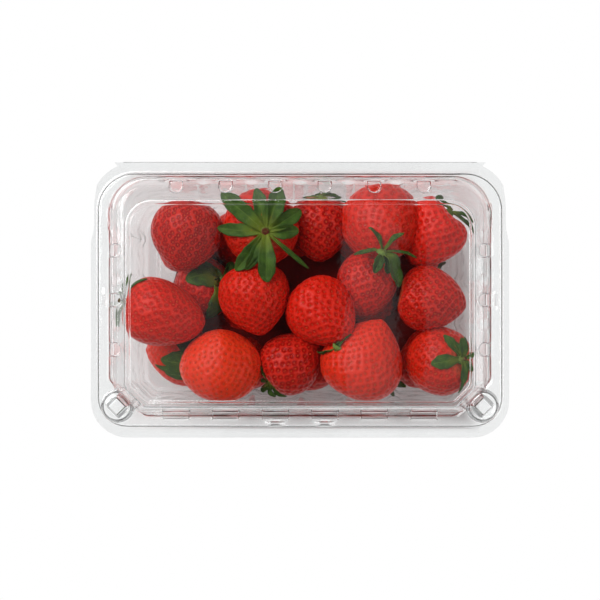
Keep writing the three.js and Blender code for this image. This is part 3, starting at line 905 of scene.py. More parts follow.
@dataclass(frozen=True)
class Rim:
    """What the two halves of the pack share at their flanges and front corners."""

    half_length: float = 93.5
    half_width: float = 61.5
    back_radius: float = 20.0
    front_radius: float = 16.5
    parting: float = 58.0
    gap: float = 0.3
    film: float = 0.36
    narrowing: float = 1.5
    step_from: float = 25.0
    step_to: float = 33.0
    hinge_half: float = 83.0
    hinge_point: float = 3.5
    hinge_depth: float = 4.0
    button_x: float = 81.0
    button_y: float = -47.0
    button_radius: float = 7.3
    button_height: float = 7.2
    button_draft: float = 1.0
    clearance: float = 0.45
    ledge_height: float = 4.2
    solid_film: float = 0.6
    plate_inset: float = 0.01
    plug_depth: float = 9.0
    plug_half: float = 12.0

    def flange(self, z: float, side: float, end: float) -> Level:
        """A level of the flange.

        Args:
            z: its height.
            side: how far it is inset from the outer edge at the sides.
            end: how far it is inset at the front and the back.

        Returns:
            The level, with round front corners.
        """
        radius = self.front_radius - side
        width = self.half_width - end
        return Level(z, self.half_length - side, width, width, self.back_radius - side,
                     radius * (2 - math.sqrt(2)), radius)

    def cut_level(self, z: float, half_length: float, back: float, front: float, radius: float,
                  corner_sum: float, ease: float = 4.0) -> Level:
        """A level with its front corners cut where x and y add up to the corner sum."""
        return Level(z, half_length, back, front, radius, half_length + front - corner_sum, ease)

    def narrow_back(self, points: np.ndarray) -> None:
        """Draws the flange's sides in behind their step, most at the outer edge.

        Args:
            points: the film's places, which are moved.
        """
        outer = self.half_length - np.abs(points[..., 0])
        share = smooth(2 * self.narrowing, 0, outer) * smooth(self.step_from, self.step_to, points[..., 1])
        points[..., 0] -= np.sign(points[..., 0]) * self.narrowing * share

    def hinge_plate(self, name: str, bottom: float) -> Object:
        """A flat plate along the back edge with a pointed ear at each end.

        Args:
            name: the object's name.
            bottom: the height of the film's lower face.

        Returns:
            A closed solid, a little thinner than the film.
        """
        half, y, top = self.hinge_half, self.half_width, bottom + self.film
        outline = [(-half, y), (self.hinge_point - half, y - self.hinge_depth),
                   (half - self.hinge_point, y - self.hinge_depth), (half, y)]
        heights = (bottom + self.plate_inset, top - self.plate_inset)
        points = [(px, py, z) for z in heights for px, py in outline]
        faces = [(3, 2, 1, 0), (4, 5, 6, 7)] + [(i, (i + 1) % 4, 4 + (i + 1) % 4, 4 + i) for i in range(4)]
        return mesh_object(name, np.array(points), faces)

    def frustum(self, boss: Boss, sign: int) -> Object:
        """The solid of a boss in a front corner.

        Args:
            boss: its sizes.
            sign: 1 for the right corner and -1 for the left.

        Returns:
            A closed solid.
        """
        angles = 2 * math.pi * np.arange(boss.sides) / boss.sides
        rings = boss.rings()
        points = [(sign * self.button_x + r * math.cos(a), self.button_y + r * math.sin(a), z)
                  for r, z in rings for a in angles]
        return mesh_object("boss", np.array(points), stack_faces(len(rings), boss.sides))

    def corner_plug(self, sign: int, wall: list[tuple[float, float]]) -> Object:
        """A block behind the cut wall of a front corner.

        Args:
            sign: 1 for the right corner and -1 for the left.
            wall: the wall's inner face, as corner sums and heights from the bottom up.

        Returns:
            A closed solid that reaches inwards from the wall.
        """
        section = [(total / math.sqrt(2), z) for total, z in wall]
        section += [(section[end][0] - self.plug_depth, section[end][1]) for end in (-1, 0)]
        outward = np.array([sign, -1]) / math.sqrt(2)
        sideways = np.array([sign, 1]) / math.sqrt(2)
        middle = (self.button_x + self.button_y) / math.sqrt(2)
        points = [(*(outward * s + sideways * (middle + reach)), z)
                  for reach in (-self.plug_half, self.plug_half) for s, z in section]
        count = len(section)
        faces = [tuple(range(count)), tuple(range(2 * count - 1, count - 1, -1))]
        faces += [(i, count + i, count + (i + 1) % count, (i + 1) % count) for i in range(count)]
        thing = mesh_object("plug", np.array(points), faces)
        face_outwards(thing)
        return thing

    def add_bosses(self, thing: Object, boss: Boss, wall: list[tuple[float, float]]) -> None:
        """Raises a hollow boss from the film in both front corners.

        Args:
            thing: the film.
            boss: the boss's sizes.
            wall: the inner face of a wall that the boss grows out of, or nothing.
        """
        for sign in (-1, 1):
            outer = self.frustum(boss, sign)
            if wall:
                combine(outer, self.corner_plug(sign, wall), Join.CUT)
            combine(thing, outer, Join.ADD)
            combine(thing, self.frustum(boss.hollow(self.film), sign), Join.CUT)


@dataclass
class TrayFilm:
    """The tray: tapered fluted walls, a raised vented floor, a stacking step and a flange."""

    rim: Rim
    foot_height: float = 2.4
    foot_width: float = 5.6
    foot_lean: float = 1.0
    foot_ease: float = 1.2
    foot_corner: float = 3.0
    foot_radius: float = 12.0
    foot_length: float = 74.2
    foot_end: float = 43.2
    wall_foot: float = 1.8
    wall_top: float = 49.0
    step: float = 1.0
    mouth_length: float = 84.5
    mouth_back: float = 54.4
    mouth_front: float = 51.0
    mouth_radius: float = 16.0
    skirt_radius: float = 16.8
    skirt_out: float = 0.8
    skirt_lean: float = 0.9
    sum_floor: float = 112.5
    least_cut: float = 2.2
    sum_mouth: float = 121.0
    sum_skirt: float = 121.6
    flute_depth: float = 1.6
    flute_half: float = 2.8
    flute_foot: float = 5.0
    flute_top: float = 45.0
    flute_ease: float = 1.2
    flute_blend: float = 1.0
    flute_margin: float = 0.6
    flutes_long: tuple[float, ...] = (-44.0, -22.0, 0.0, 22.0, 44.0)
    flutes_side: tuple[float, ...] = (-11.0, 9.0, 29.0)
    flat_long: float = 52.0
    flat_side: tuple[float, float] = (-30.0, 38.0)
    side_stations: tuple[float, float] = (-22.0, 24.0)
    station_gap: float = 2.4
    ring_gap: float = 1.35
    round_steps: int = 4
    panel_edge: float = 2.0
    wall_match: float = 0.3
    vent_length: float = 16.0
    vent_width: float = 4.0
    vent_columns: tuple[float, ...] = (-57.0, -19.0, 19.0, 57.0)
    vent_rows: tuple[float, ...] = (-15.0, 15.0)
    post_sides: int = 4
    post_draft: float = 2.0
    post_ease: float = 0.5

    def foot(self, z: float, inset: float) -> Level:
        """A level of the foot.

        Args:
            z: its height.
            inset: how far it lies inside the foot's outer edge.

        Returns:
            The level, whose cut corners never get smaller than the least cut.
        """
        length, end = self.foot_length - inset, self.foot_end - inset
        total = min(self.sum_floor - inset * math.sqrt(2), length + end - self.least_cut)
        return self.rim.cut_level(z, length, end, end, self.foot_radius - inset / 2, total,
                                  self.foot_corner)

    def wall(self, z: float) -> Level:
        """A level of the tapered wall."""
        t = z / self.wall_top
        return self.rim.cut_level(
            z, self.foot_length + (self.mouth_length - self.foot_length) * t,
            self.foot_end + (self.mouth_back - self.foot_end) * t,
            self.foot_end + (self.mouth_front - self.foot_end) * t,
            self.foot_radius + (self.mouth_radius - self.foot_radius) * t,
            self.sum_floor + (self.sum_mouth - self.sum_floor) * t)

    def skirt(self, z: float) -> Level:
        """A level of the nearly upright skirt above the wall.

        Args:
            z: its height.

        Returns:
            The level, which lies further out the higher it is.
        """
        t = (z - self.wall_top) / (self.rim.parting - self.wall_top)
        out = self.skirt_out + self.skirt_lean * (t - 0.5)
        return self.rim.cut_level(z, self.mouth_length + out, self.mouth_back + out,
                                  self.mouth_front + out, self.skirt_radius, self.sum_skirt)

    def profile(self) -> np.ndarray:
        """The outer face from the flange's edge down to the floor panel.

        Returns:
            One row of level values for each ring.
        """
        bottom = self.rim.parting - self.rim.gap / 2 - self.rim.film
        panel = self.foot_width + self.foot_lean
        corners = [
            (self.rim.flange(bottom, 0, 0), 0), (self.skirt(bottom), 1.4), (self.skirt(self.wall_top), 0.5),
            (self.wall(self.wall_top - self.step), 0.5), (self.wall(self.wall_foot), 1.6),
            (self.foot(0, self.foot_ease), 0.6), (self.foot(0, self.foot_width), 0.8),
            (self.foot(self.foot_height, panel), 0.8),
            (self.foot(self.foot_height, panel + self.panel_edge), 0),
        ]
        levels, radii = zip(*corners)
        return rounded_profile(list(levels), list(radii), self.round_steps, self.ring_gap)

    def stations(self) -> Stations:
        """Points at the flutes' edges, with a few between.

        Returns:
            The stations. The last flute of each side lies past them, on the even run to the corner.
        """
        edges = (-self.flute_half - self.flute_margin, -self.flute_half, -self.flute_half / 2, 0.0,
                 self.flute_half / 2, self.flute_half, self.flute_half + self.flute_margin)
        ends = sorted({0.0} | {abs(x + e) for x in self.flutes_long for e in edges if x + e >= 0})
        sides = sorted({y + e for y in self.flutes_side[:2] for e in edges} | set(self.side_stations))
        front, side = (tuple(spaced(stops, self.station_gap)) for stops in (ends, sides))
        return Stations(front, side, front)

    def press_flutes(self, points: np.ndarray) -> None:
        """Presses the upright flutes into the four walls.

        Args:
            points: the film's places, which are moved.
        """
        x, y, z = points[..., 0].copy(), points[..., 1].copy(), points[..., 2]
        ease = self.flute_ease
        high = smooth(self.flute_foot - ease, self.flute_foot + ease, z) * smooth(
            self.flute_top + ease, self.flute_top - ease, z)

        def dent(places: tuple[float, ...], along: np.ndarray) -> np.ndarray:
            """How deep the nearest flute is at each point along a wall."""
            near = np.min([np.abs(along - flute) for flute in places], axis=0)
            return smooth(self.flute_half + self.flute_blend, self.flute_half / 5,
                          near) * self.flute_depth * high

        t = z / self.wall_top
        end = self.foot_end + (np.where(y > 0, self.mouth_back, self.mouth_front) - self.foot_end) * t
        side = self.foot_length + (self.mouth_length - self.foot_length) * t
        first, last = self.flat_side
        on_end = (np.abs(np.abs(y) - end) < self.wall_match) & (np.abs(x) < self.flat_long)
        on_side = (np.abs(np.abs(x) - side) < self.wall_match) & (y > first) & (y < last)
        points[..., 1] -= np.sign(y) * np.where(on_end, dent(self.flutes_long, x), 0)
        points[..., 0] -= np.sign(x) * np.where(on_side, dent(self.flutes_side, y), 0)

    def floor_vents(self) -> list[np.ndarray]:
        """Outlines of the round-ended slots in the floor panel.

        Returns:
            One closed outline for each slot, as rows of x and y.
        """
        half, radius = (self.vent_length - self.vent_width) / 2, self.vent_width / 2
        angles = np.radians(np.linspace(-90, 90, 9))
        right = [(half + radius * math.cos(a), radius * math.sin(a)) for a in angles]
        slot = np.array(right + [(-x, -y) for x, y in right])
        return [slot + (x, y) for y in self.vent_rows for x in self.vent_columns]

    def build(self, film: Material) -> Object:
        """Builds and dresses the tray.

        Args:
            film: the clear film.

        Returns:
            The piece that stands for the tray.
        """
        rim = self.rim
        skin = FilmSkin(self.profile(), self.stations())
        self.press_flutes(skin.points)
        rim.narrow_back(skin.points)
        thing = skin.build("tray_film", False, self.floor_vents())
        give_thickness(thing, rim.film, -1)
        top = rim.parting - rim.gap / 2
        combine(thing, rim.hinge_plate("plate", top - rim.film), Join.ADD)
        inside = rim.solid_film + rim.clearance
        post_top = rim.parting + rim.ledge_height + rim.button_height - inside
        rim.add_bosses(thing, Boss(self.post_sides, rim.button_radius - inside, self.post_draft,
                                   top - rim.film / 2, post_top, self.post_ease), [])
        return dress(thing, film, Slot.FILM, Body.TRAY, "tray")


class PocketShape(Enum):
    """The two kinds of vent: a round pocket in the shoulder and a square box on the front ledge."""

    ROUND = "round"
    SQUARE = "square"


@dataclass(frozen=True)
class Pocket:
    """A vent pocket: a place on the rim, the way to the pack's middle and its shape."""

    x: float
    y: float
    inward: tuple[float, float]
    shape: PocketShape

    def local(self, points: np.ndarray) -> tuple[np.ndarray, np.ndarray]:
        """Measures where points lie from the pocket.

        Args:
            points: the places.

        Returns:
            How far each lies across the pocket, and inwards from its outer end.
        """
        dx, dy = points[..., 0] - self.x, points[..., 1] - self.y
        across = dx * self.inward[1] - dy * self.inward[0]
        return across, dx * self.inward[0] + dy * self.inward[1]


@dataclass
class LidFilm:
    """The lid: flange, ledge, steep shoulder with vent pockets, ridge and sunken top panel."""

    rim: Rim
    height: float = 76.0
    flange_side: float = 2.9
    flange_end: float = 4.5
    ledge: float = 62.2
    rise: float = 0.8
    ledge_length: float = 83.0
    ledge_back: float = 53.5
    ledge_front: float = 49.8
    fold_length: float = 81.6
    fold_back: float = 51.0
    fold_front: float = 49.1
    fold_height: float = 64.0
    ledge_radius: float = 14.0
    fold_radius: float = 13.0
    top_radius: float = 12.0
    top_length: float = 77.0
    top_back: float = 44.3
    top_front: float = 47.0
    ridge: float = 2.2
    ridge_lean: float = 0.6
    panel_drop: float = 0.8
    panel_edge: float = 2.0
    ring_gap: float = 0.62
    round_steps: int = 4
    station_gap: float = 2.0
    sum_foot: float = 122.0
    sum_fold: float = 121.4
    sum_top: float = 115.4
    vent_side: float = 84.1
    vent_back: float = 52.6
    vent_pitch: float = 22.0
    vent_half: float = 2.5
    vent_reach: float = 4.6
    vent_shelf: float = 60.9
    box_front: float = 52.6
    box_half: float = 5.8
    box_reach: float = 3.5
    box_top: float = 64.7
    box_slot: float = 2.0
    slot_half: float = 2.5
    slot_width: float = 1.3
    button_sides: int = 64
    button_bevel: float = 2.2
    button_sink: float = 0.3
    plug_drop: float = 3.0
    plug_gap: float = 0.1
    wall_lean: float = 0.45
    slit_x: float = 84.4
    slit_from: float = 33.5
    slit_to: float = 42.5
    slit_half: float = 0.45
    slit_open: float = 0.35
    groove_depth: float = 1.3
    groove_edge: float = 0.35
    latch_half: float = 3.1
    latch_y: float = -52.2
    latch_width: float = 0.55
    nub_x: float = 10.9
    nub_half: float = 4.05
    nub_y: float = -54.9
    nub_width: float = 1.3
    nub_height: float = 1.1
    nub_slope: float = 0.7
    rib_x: float = 86.9
    rib_half: float = 4.2
    rib_height: float = 0.7
    rib_slope: float = 0.8
    rib_foot: float = 1.0
    rib_crest: float = 0.2

    def profile(self) -> np.ndarray:
        """The top face from the flange's edge up to the panel.

        Returns:
            One row of level values for each ring.
        """
        rim, panel = self.rim, self.height - self.panel_drop
        top = rim.parting + rim.gap / 2 + rim.film

        def top_level(z: float, inset: float) -> Level:
            """A level of the ridge round the panel."""
            return rim.cut_level(z, self.top_length - inset, self.top_back - inset, self.top_front - inset,
                                 self.top_radius - inset, self.sum_top - inset * math.sqrt(2))

        corners = [
            (rim.flange(top, 0, 0), 0), (rim.flange(top, self.flange_side, self.flange_end), 0.7),
            (rim.flange(self.ledge, self.flange_side + self.rise, self.flange_end + self.rise), 0.8),
            (rim.cut_level(self.ledge, self.ledge_length, self.ledge_back, self.ledge_front,
                           self.ledge_radius, self.sum_foot), 0.7),
            (rim.cut_level(self.fold_height, self.fold_length, self.fold_back, self.fold_front,
                           self.fold_radius, self.sum_fold), 0.9),
            (top_level(panel, 0), 1.0), (top_level(self.height, self.ridge_lean), 0.9),
            (top_level(self.height, self.ridge), 0.9),
            (top_level(panel, self.ridge + self.ridge_lean), 0.6),
            (top_level(panel, self.ridge + self.panel_edge), 0),
        ]
        levels, radii = zip(*corners)
        return rounded_profile(list(levels), list(radii), self.round_steps, self.ring_gap)

    def stations(self) -> Stations:
        """Points at the pockets' and slots' edges, with a few between.

        Returns:
            The stations.
        """
        lean = self.wall_lean

        def around(places: list[float], edges: list[float], more: list[float]) -> tuple[float, ...]:
            """Stations at the given edges round each place, from the middle outwards."""
            stops = {round(p + s * e, 3) for p in places for e in edges for s in (-1, 1)} | set(more)
            return tuple(spaced(sorted(v for v in stops if v >= 0), self.station_gap))

        half_pitches = [self.vent_pitch * k for k in (0.5, 1.5, 2.5)]
        round_edges = [0, 0.8, 1.6, 2.1, self.slot_half, self.vent_half, self.vent_half + lean]
        square_edges = [0, self.slot_half, self.box_half, self.box_half + lean]
        front = around(half_pitches, square_edges,
                       [0, self.latch_half, self.nub_x - self.nub_half, self.nub_x + self.nub_half])
        back = around(half_pitches, round_edges, [0])
        right = around([0, self.vent_pitch], round_edges, [0])
        return Stations(front, tuple(sorted({-y for y in right} | set(right))), back, ramp=5)

    def pockets(self) -> list[Pocket]:
        """Six pockets along each long side and three at each short one.

        Returns:
            The pockets.
        """
        columns = [self.vent_pitch * (k + 0.5) for k in range(-3, 3)]
        rows = [self.vent_pitch * k for k in (-1, 0, 1)]
        back = [Pocket(c, self.vent_back, (0, -1), PocketShape.ROUND) for c in columns]
        front = [Pocket(c, -self.box_front, (0, 1), PocketShape.SQUARE) for c in columns]
        sides = [Pocket(s * self.vent_side, r, (-s, 0), PocketShape.ROUND) for s in (-1, 1) for r in rows]
        return back + front + sides

    def sink_pockets(self, skin: FilmSkin) -> None:
        """Sinks the pockets into the shoulder, raises the front boxes and opens every slot.

        Args:
            skin: the lid's film.
        """
        points = skin.points
        middles = skin.centres()
        for pocket in self.pockets():
            across, inward = pocket.local(points)
            if pocket.shape is PocketShape.ROUND:
                straight = self.vent_reach - self.vent_half
                edge = np.hypot(across, np.maximum(inward - straight, 0)) - self.vent_half
                shelf, slot = np.minimum(points[..., 2], self.vent_shelf), 0.0
            else:
                beside = np.maximum(np.abs(across) - self.box_half, -inward)
                edge = np.maximum(beside, inward - self.box_reach)
                shelf, slot = np.maximum(points[..., 2], self.box_top), self.box_slot
            depth = smooth(self.wall_lean, 0, np.maximum(edge, -inward))
            points[..., 2] += (shelf - points[..., 2]) * depth
            across, inward = pocket.local(middles)
            opened = (inward > slot) & (inward < slot + self.slot_width)
            skin.leave_out(opened & (np.abs(across) < self.slot_half))
        x, y, z = np.abs(middles[..., 0]), middles[..., 1], middles[..., 2]
        middle, half = (self.slit_from + self.slit_to) / 2, (self.slit_to - self.slit_from) / 2
        along = np.abs(points[..., 1] - middle) - half
        off = np.maximum(along, np.abs(np.abs(points[..., 0]) - self.slit_x) - self.slit_half)
        points[..., 2] -= self.groove_depth * smooth(self.groove_edge, 0, off)
        slit = (np.abs(x - self.slit_x) < self.slit_open) & (y > self.slit_from) & (y < self.slit_to)
        skin.leave_out(slit & (z < self.fold_height + 1))
        skin.leave_out((x < self.latch_half) & (np.abs(y - self.latch_y) < self.latch_width))

    def raise_nubs(self, points: np.ndarray) -> None:
        """Raises the two latch nubs on the front ledge and a rib outside each middle side vent.

        Args:
            points: the film's places, which are moved.
        """
        x, y = np.abs(points[..., 0]), points[..., 1]
        nub = smooth(self.nub_half + 0.01, self.nub_half - self.nub_slope, np.abs(x - self.nub_x)) * smooth(
            self.nub_width, self.nub_width - self.nub_slope, np.abs(y - self.nub_y))
        rib = smooth(self.rib_foot, self.rib_crest, np.abs(x - self.rib_x)) * smooth(
            self.rib_half, self.rib_half - self.rib_slope, np.abs(y))
        points[..., 2] += self.nub_height * nub + self.rib_height * rib

    def build(self, film: Material) -> Object:
        """Builds and dresses the lid.

        Args:
            film: the clear film.

        Returns:
            The piece that stands for the lid.
        """
        rim = self.rim
        skin = FilmSkin(self.profile(), self.stations())
        self.sink_pockets(skin)
        self.raise_nubs(skin.points)
        rim.narrow_back(skin.points)
        thing = skin.build("lid_film", True, [])
        give_thickness(thing, rim.film, -1)
        combine(thing, rim.hinge_plate("plate", rim.parting + rim.gap / 2), Join.ADD)
        behind = rim.film * math.sqrt(2) + self.plug_gap
        wall = [(self.sum_fold - behind, self.ledge - self.plug_drop),
                (self.sum_fold - behind, self.fold_height),
                (self.sum_top - behind, self.height - self.panel_drop)]
        rim.add_bosses(thing, Boss(self.button_sides, rim.button_radius, rim.button_draft,
                                   self.ledge - self.button_sink, self.ledge + rim.button_height,
                                   self.button_bevel), wall)
        return dress(thing, film, Slot.FILM, Body.LID, "lid")


@dataclass
class HingeWeb:
    """The thin fold of film that joins the two flanges along the back edge."""

    rim: Rim
    half_span: float = 79.0
    bulge: float = 0.15
    offset: float = 0.05
    film: float = 0.14
    steps: int = 10
    station_gap: float = 4.0

    def build(self, film: Material) -> Object:
        """Builds the fold.

        Args:
            film: the clear film.

        Returns:
            The piece.
        """
        rim = self.rim
        low = rim.parting - rim.gap / 2 - rim.film / 2
        high = rim.parting + rim.gap / 2 + rim.film / 2
        angles = np.linspace(-math.pi / 2, math.pi / 2, self.steps + 1)
        section = [(rim.half_width + self.offset + self.bulge * math.cos(a),
                    (low + high) / 2 + (high - low) / 2 * math.sin(a)) for a in angles]
        xs = spaced([-self.half_span, self.half_span], self.station_gap)
        points = [(x, y, z) for y, z in section for x in xs]
        count = len(xs)
        faces = [(r * count + i + 1, r * count + i, (r + 1) * count + i, (r + 1) * count + i + 1)
                 for r in range(self.steps) for i in range(count - 1)]
        thing = give_thickness(mesh_object("hinge_web", np.array(points), faces), self.film, -1)
        finish_piece(thing, film)
        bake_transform(thing)
        return thing


FILM_CREASE = 40.0  # degrees; a sharper turn of the film shades as an edge


def finish_piece(thing: Object, material: Material) -> None:
    """Gives a piece its material.

    Args:
        thing: the piece.
        material: its only material.
    """
    thing.data.materials.clear()
    thing.data.materials.append(material)


def dress(thing: Object, material: Material, slot: Slot, body: Body,
          node: str) -> Object:
    """Finishes a piece and puts it on its body in place of a node.

    Args:
        thing: the piece.
        material: its only material.
        slot: the record's slot for it, which here only decides whether the piece is shaded as film.
        body: the body that it rides on.
        node: the node that it replaces.

    Returns:
        The same piece.
    """
    finish_piece(thing, material)
    if slot is Slot.FILM:
        thing.data.shade_smooth()
        thing.data.set_sharp_from_angle(angle=math.radians(FILM_CREASE))
    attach(thing, body.value)
    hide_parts(node)
    return thing


# ---- Fruit -----------------------------------------------------------------------------------

SEED_CELL = 0.866  # a seed's share of the skin, in squares of the gap between seeds


@dataclass(frozen=True)
class Swelling:
    """A bulge of the fruit towards a heading in the ground plane, with its height and spread."""

    heading: float
    amount: float
    spread: float


@dataclass(frozen=True)
class Berry:
    """One strawberry: its middle, size and the heading and pitch of the line from stalk to tip."""

    centre: Triple
    diameter: float
    length: float
    heading: float
    pitch: float
    taper: float
    blush: float = 0.4
    warmth: float = 0.2
    seed_gap: float = 3.0
    pit_depth: float = 0.6
    swellings: tuple[Swelling, ...] = ()
    shoulder: float = 0.72
    unevenness: float = 0.045
    hollow_depth: float = 1.8
    hollow_radius: float = 4.2
    stalk_sink: float = 1.2

    def turn(self) -> np.ndarray:
        """The rotation from the fruit's own axes, with its tip along +X, to the pack's."""
        heading = Matrix.Rotation(math.radians(self.heading), 3, "Z")
        return np.array(heading @ Matrix.Rotation(math.radians(-self.pitch), 3, "Y"))

    def radius(self, u: np.ndarray) -> np.ndarray:
        """The radius at u of the way from the stalk end to the tip."""
        swell = np.maximum(np.sin(np.pi * np.clip(u, 0, 1) ** self.shoulder), 0)
        return self.diameter / 2 * swell ** (0.5 + (self.taper - 0.5) * u)

    def uneven(self, directions: np.ndarray, seed: int) -> np.ndarray:
        """A share from about -1 to 1 that varies slowly over the fruit.

        Args:
            directions: unit rows in the fruit's own axes.
            seed: the fruit's number.

        Returns:
            The share in each direction.
        """
        rng = np.random.default_rng(seed)
        waves = rng.normal(size=(5, 3)) * 1.9
        phases = rng.uniform(0, 2 * math.pi, 5)
        return np.sin(directions @ waves.T + phases).mean(axis=1) * 1.6

    def surface(self, directions: np.ndarray, seed: int) -> np.ndarray:
        """Places points of the smooth skin.

        Args:
            directions: unit rows in the fruit's own axes.
            seed: the fruit's number, which settles its unevenness.

        Returns:
            Their places in the pack, in millimetres.
        """
        u = (1 + directions[:, 0]) / 2
        out = unit(np.column_stack([np.zeros(len(u)), directions[:, 1:]]))
        reach = self.radius(u) * (1 + self.unevenness * self.uneven(directions, seed))
        hollow = self.hollow_depth * np.exp(-(reach / self.hollow_radius) ** 2) * (u < 0.5)
        along = (u - 0.5) * self.length + hollow
        points = np.column_stack([along, out[:, 1] * reach, out[:, 2] * reach]) @ self.turn().T
        heading = unit(points)
        for swelling in self.swellings:
            a = math.radians(swelling.heading)
            angle = np.degrees(np.arccos(np.clip(heading @ (math.cos(a), math.sin(a), 0.25), -1, 1)))
            points += heading * (swelling.amount * np.exp(-(angle / swelling.spread) ** 2))[:, None]
        return points + self.centre

    def seed_directions(self, seed: int) -> np.ndarray:
        """Spreads the seeds along a spiral with equal areas, a little unevenly.

        Args:
            seed: the fruit's number.

        Returns:
            Unit rows in the fruit's own axes.
        """
        u = np.linspace(0, 1, 240)
        reach = self.radius(u)
        strip = np.hypot(np.diff(reach), np.diff(u) * self.length) * (reach[1:] + reach[:-1]) / 2
        area = np.concatenate([[0], np.cumsum(strip)])
        count = int(2 * math.pi * area[-1] / (SEED_CELL * self.seed_gap ** 2))
        rng = np.random.default_rng(seed + 500)
        share = (np.arange(count) + 0.5 + rng.uniform(-0.25, 0.25, count)) / count
        x = 2 * np.interp(share * area[-1], area, u) - 1
        turn = GOLDEN_ANGLE * np.arange(count) + rng.uniform(-0.06, 0.06, count)
        ring = np.sqrt(np.maximum(1 - x * x, 0))
        return np.column_stack([x, ring * np.cos(turn), ring * np.sin(turn)])

    def stalk_end(self) -> np.ndarray:
        """Where the stalk meets the fruit."""
        return np.array(self.centre) + self.facing() * (self.length / 2 - self.stalk_sink)

    def facing(self) -> np.ndarray:
        """The way that the stalk end looks."""
        return -self.turn()[:, 0]

    def keep_clear(self, points: np.ndarray, gap: float) -> np.ndarray:
        """Moves points that lie in the fruit out of it.

        Args:
            points: the places.
            gap: how far above the skin they end.

        Returns:
            The places, moved where that is needed.
        """
        turn = self.turn()
        local = (points - self.centre) @ turn
        u = local[:, 0] / self.length + 0.5
        reach = np.linalg.norm(local[:, 1:], axis=1)
        wanted = self.radius(u) * 1.03 + gap
        inside = (u > 0.02) & (u < 0.99) & (reach < wanted)
        scale = np.where(inside, wanted / np.maximum(reach, TINY), 1)
        local[:, 1:] *= scale[:, None]
        return local @ turn.T + self.centre


def cube_ball(count: int) -> tuple[np.ndarray, np.ndarray]:
    """Spreads points evenly over a ball by way of a cube.

    Args:
        count: faces along each edge of the cube.

    Returns:
        Unit directions, and the quads between them with their faces outwards.
    """
    steps = np.tan(np.linspace(-1, 1, count + 1) * math.pi / 4)
    a, b = np.meshgrid(steps, steps, indexing="ij")
    one = np.ones_like(a)
    sides = [(one, a, b), (-one, b, a), (b, one, a), (a, -one, b), (a, b, one), (b, a, -one)]
    grids = np.concatenate([np.stack(side, -1).reshape(-1, 3) for side in sides])
    quad = grid_quads(count, count)
    quads = np.concatenate([quad + k * (count + 1) ** 2 for k in range(len(sides))])
    _, first, inverse = np.unique(np.round(grids, 6), axis=0, return_index=True, return_inverse=True)
    return unit(grids[first]), inverse.reshape(-1)[quads]


def skin_normals(points: np.ndarray, quads: np.ndarray) -> np.ndarray:
    """Works out the outward normal at each vertex of a closed skin.

    Args:
        points: the vertices.
        quads: four vertex numbers for each face.

    Returns:
        One unit row for each vertex.
    """
    across = points[quads[:, 2]] - points[quads[:, 0]]
    facing = np.cross(across, points[quads[:, 3]] - points[quads[:, 1]])
    normals = np.zeros_like(points)
    for corner in range(4):
        np.add.at(normals, quads[:, corner], facing)
    return unit(normals)


@dataclass
class FruitMesh:
    """Skins of several berries in one mesh, and the seeds that lie in their pits."""

    name: str
    swell: float = 0.12
    pit_radius: float = 0.33
    # reach of the painted pit shade round each seed, as a share of the seed gap
    pit_shade_radius: float = 0.26
    seed_sink: float = 0.62
    points: list = field(default_factory=list)
    faces: list = field(default_factory=list)
    marks: dict = field(default_factory=lambda: {"blush": [], "warmth": [], "stalkward": [], "pit": []})
    total: int = 0

    def add(self, berry: Berry, seed: int, ball: tuple[np.ndarray, np.ndarray]) -> "SeedBed":
        """Adds one berry.

        Args:
            berry: the berry.
            seed: its number.
            ball: the directions and quads to build it on.

        Returns:
            The places of its seeds.
        """
        directions, quads = ball
        smooth_skin = berry.surface(directions, seed)
        normals = skin_normals(smooth_skin, quads)
        seeds = berry.surface(berry.seed_directions(seed), seed)
        squared = (smooth_skin ** 2).sum(1)[:, None] + (seeds ** 2).sum(1)[None] - 2 * smooth_skin @ seeds.T
        near = np.sqrt(np.maximum(squared.min(axis=1), 0))
        # mask of the painted pit shade; where it is low the skin gets the painted ridge highlight
        pit = np.exp(-(near / (self.pit_shade_radius * berry.seed_gap)) ** 2)
        lift = self.swell - berry.pit_depth * np.exp(-(near / (self.pit_radius * berry.seed_gap)) ** 2)
        self.points.append(smooth_skin + normals * lift[:, None])
        self.faces.append(quads + self.total)
        self.total += len(directions)
        u = (1 + directions[:, 0]) / 2
        marks = (np.full(len(u), berry.blush), np.full(len(u), berry.warmth), smooth(0.05, 0.0, u), pit)
        for label, values in zip(self.marks, marks):
            self.marks[label].append(values)
        closest = np.argmin(squared, axis=0)
        outward = normals[closest]
        tip = berry.turn()[:, 0]
        along = unit(tip - outward * (outward @ tip)[:, None])
        return SeedBed(seeds - outward * (berry.pit_depth * self.seed_sink), outward, along)

    def build(self, skin: Material) -> Object:
        """Makes the piece and dresses it.

        Args:
            skin: the fruit's skin.

        Returns:
            The piece.
        """
        thing = mesh_object(self.name, np.concatenate(self.points), np.concatenate(self.faces))
        for label, parts in self.marks.items():
            add_attribute(thing.data, label, np.concatenate(parts))
        return dress(thing, skin, Slot.FRUIT, Body.TRAY, "strawberries")


@dataclass
class SeedBed:
    """Places of seeds, with the way each looks and the way its long side lies."""

    places: np.ndarray
    outward: np.ndarray
    along: np.ndarray


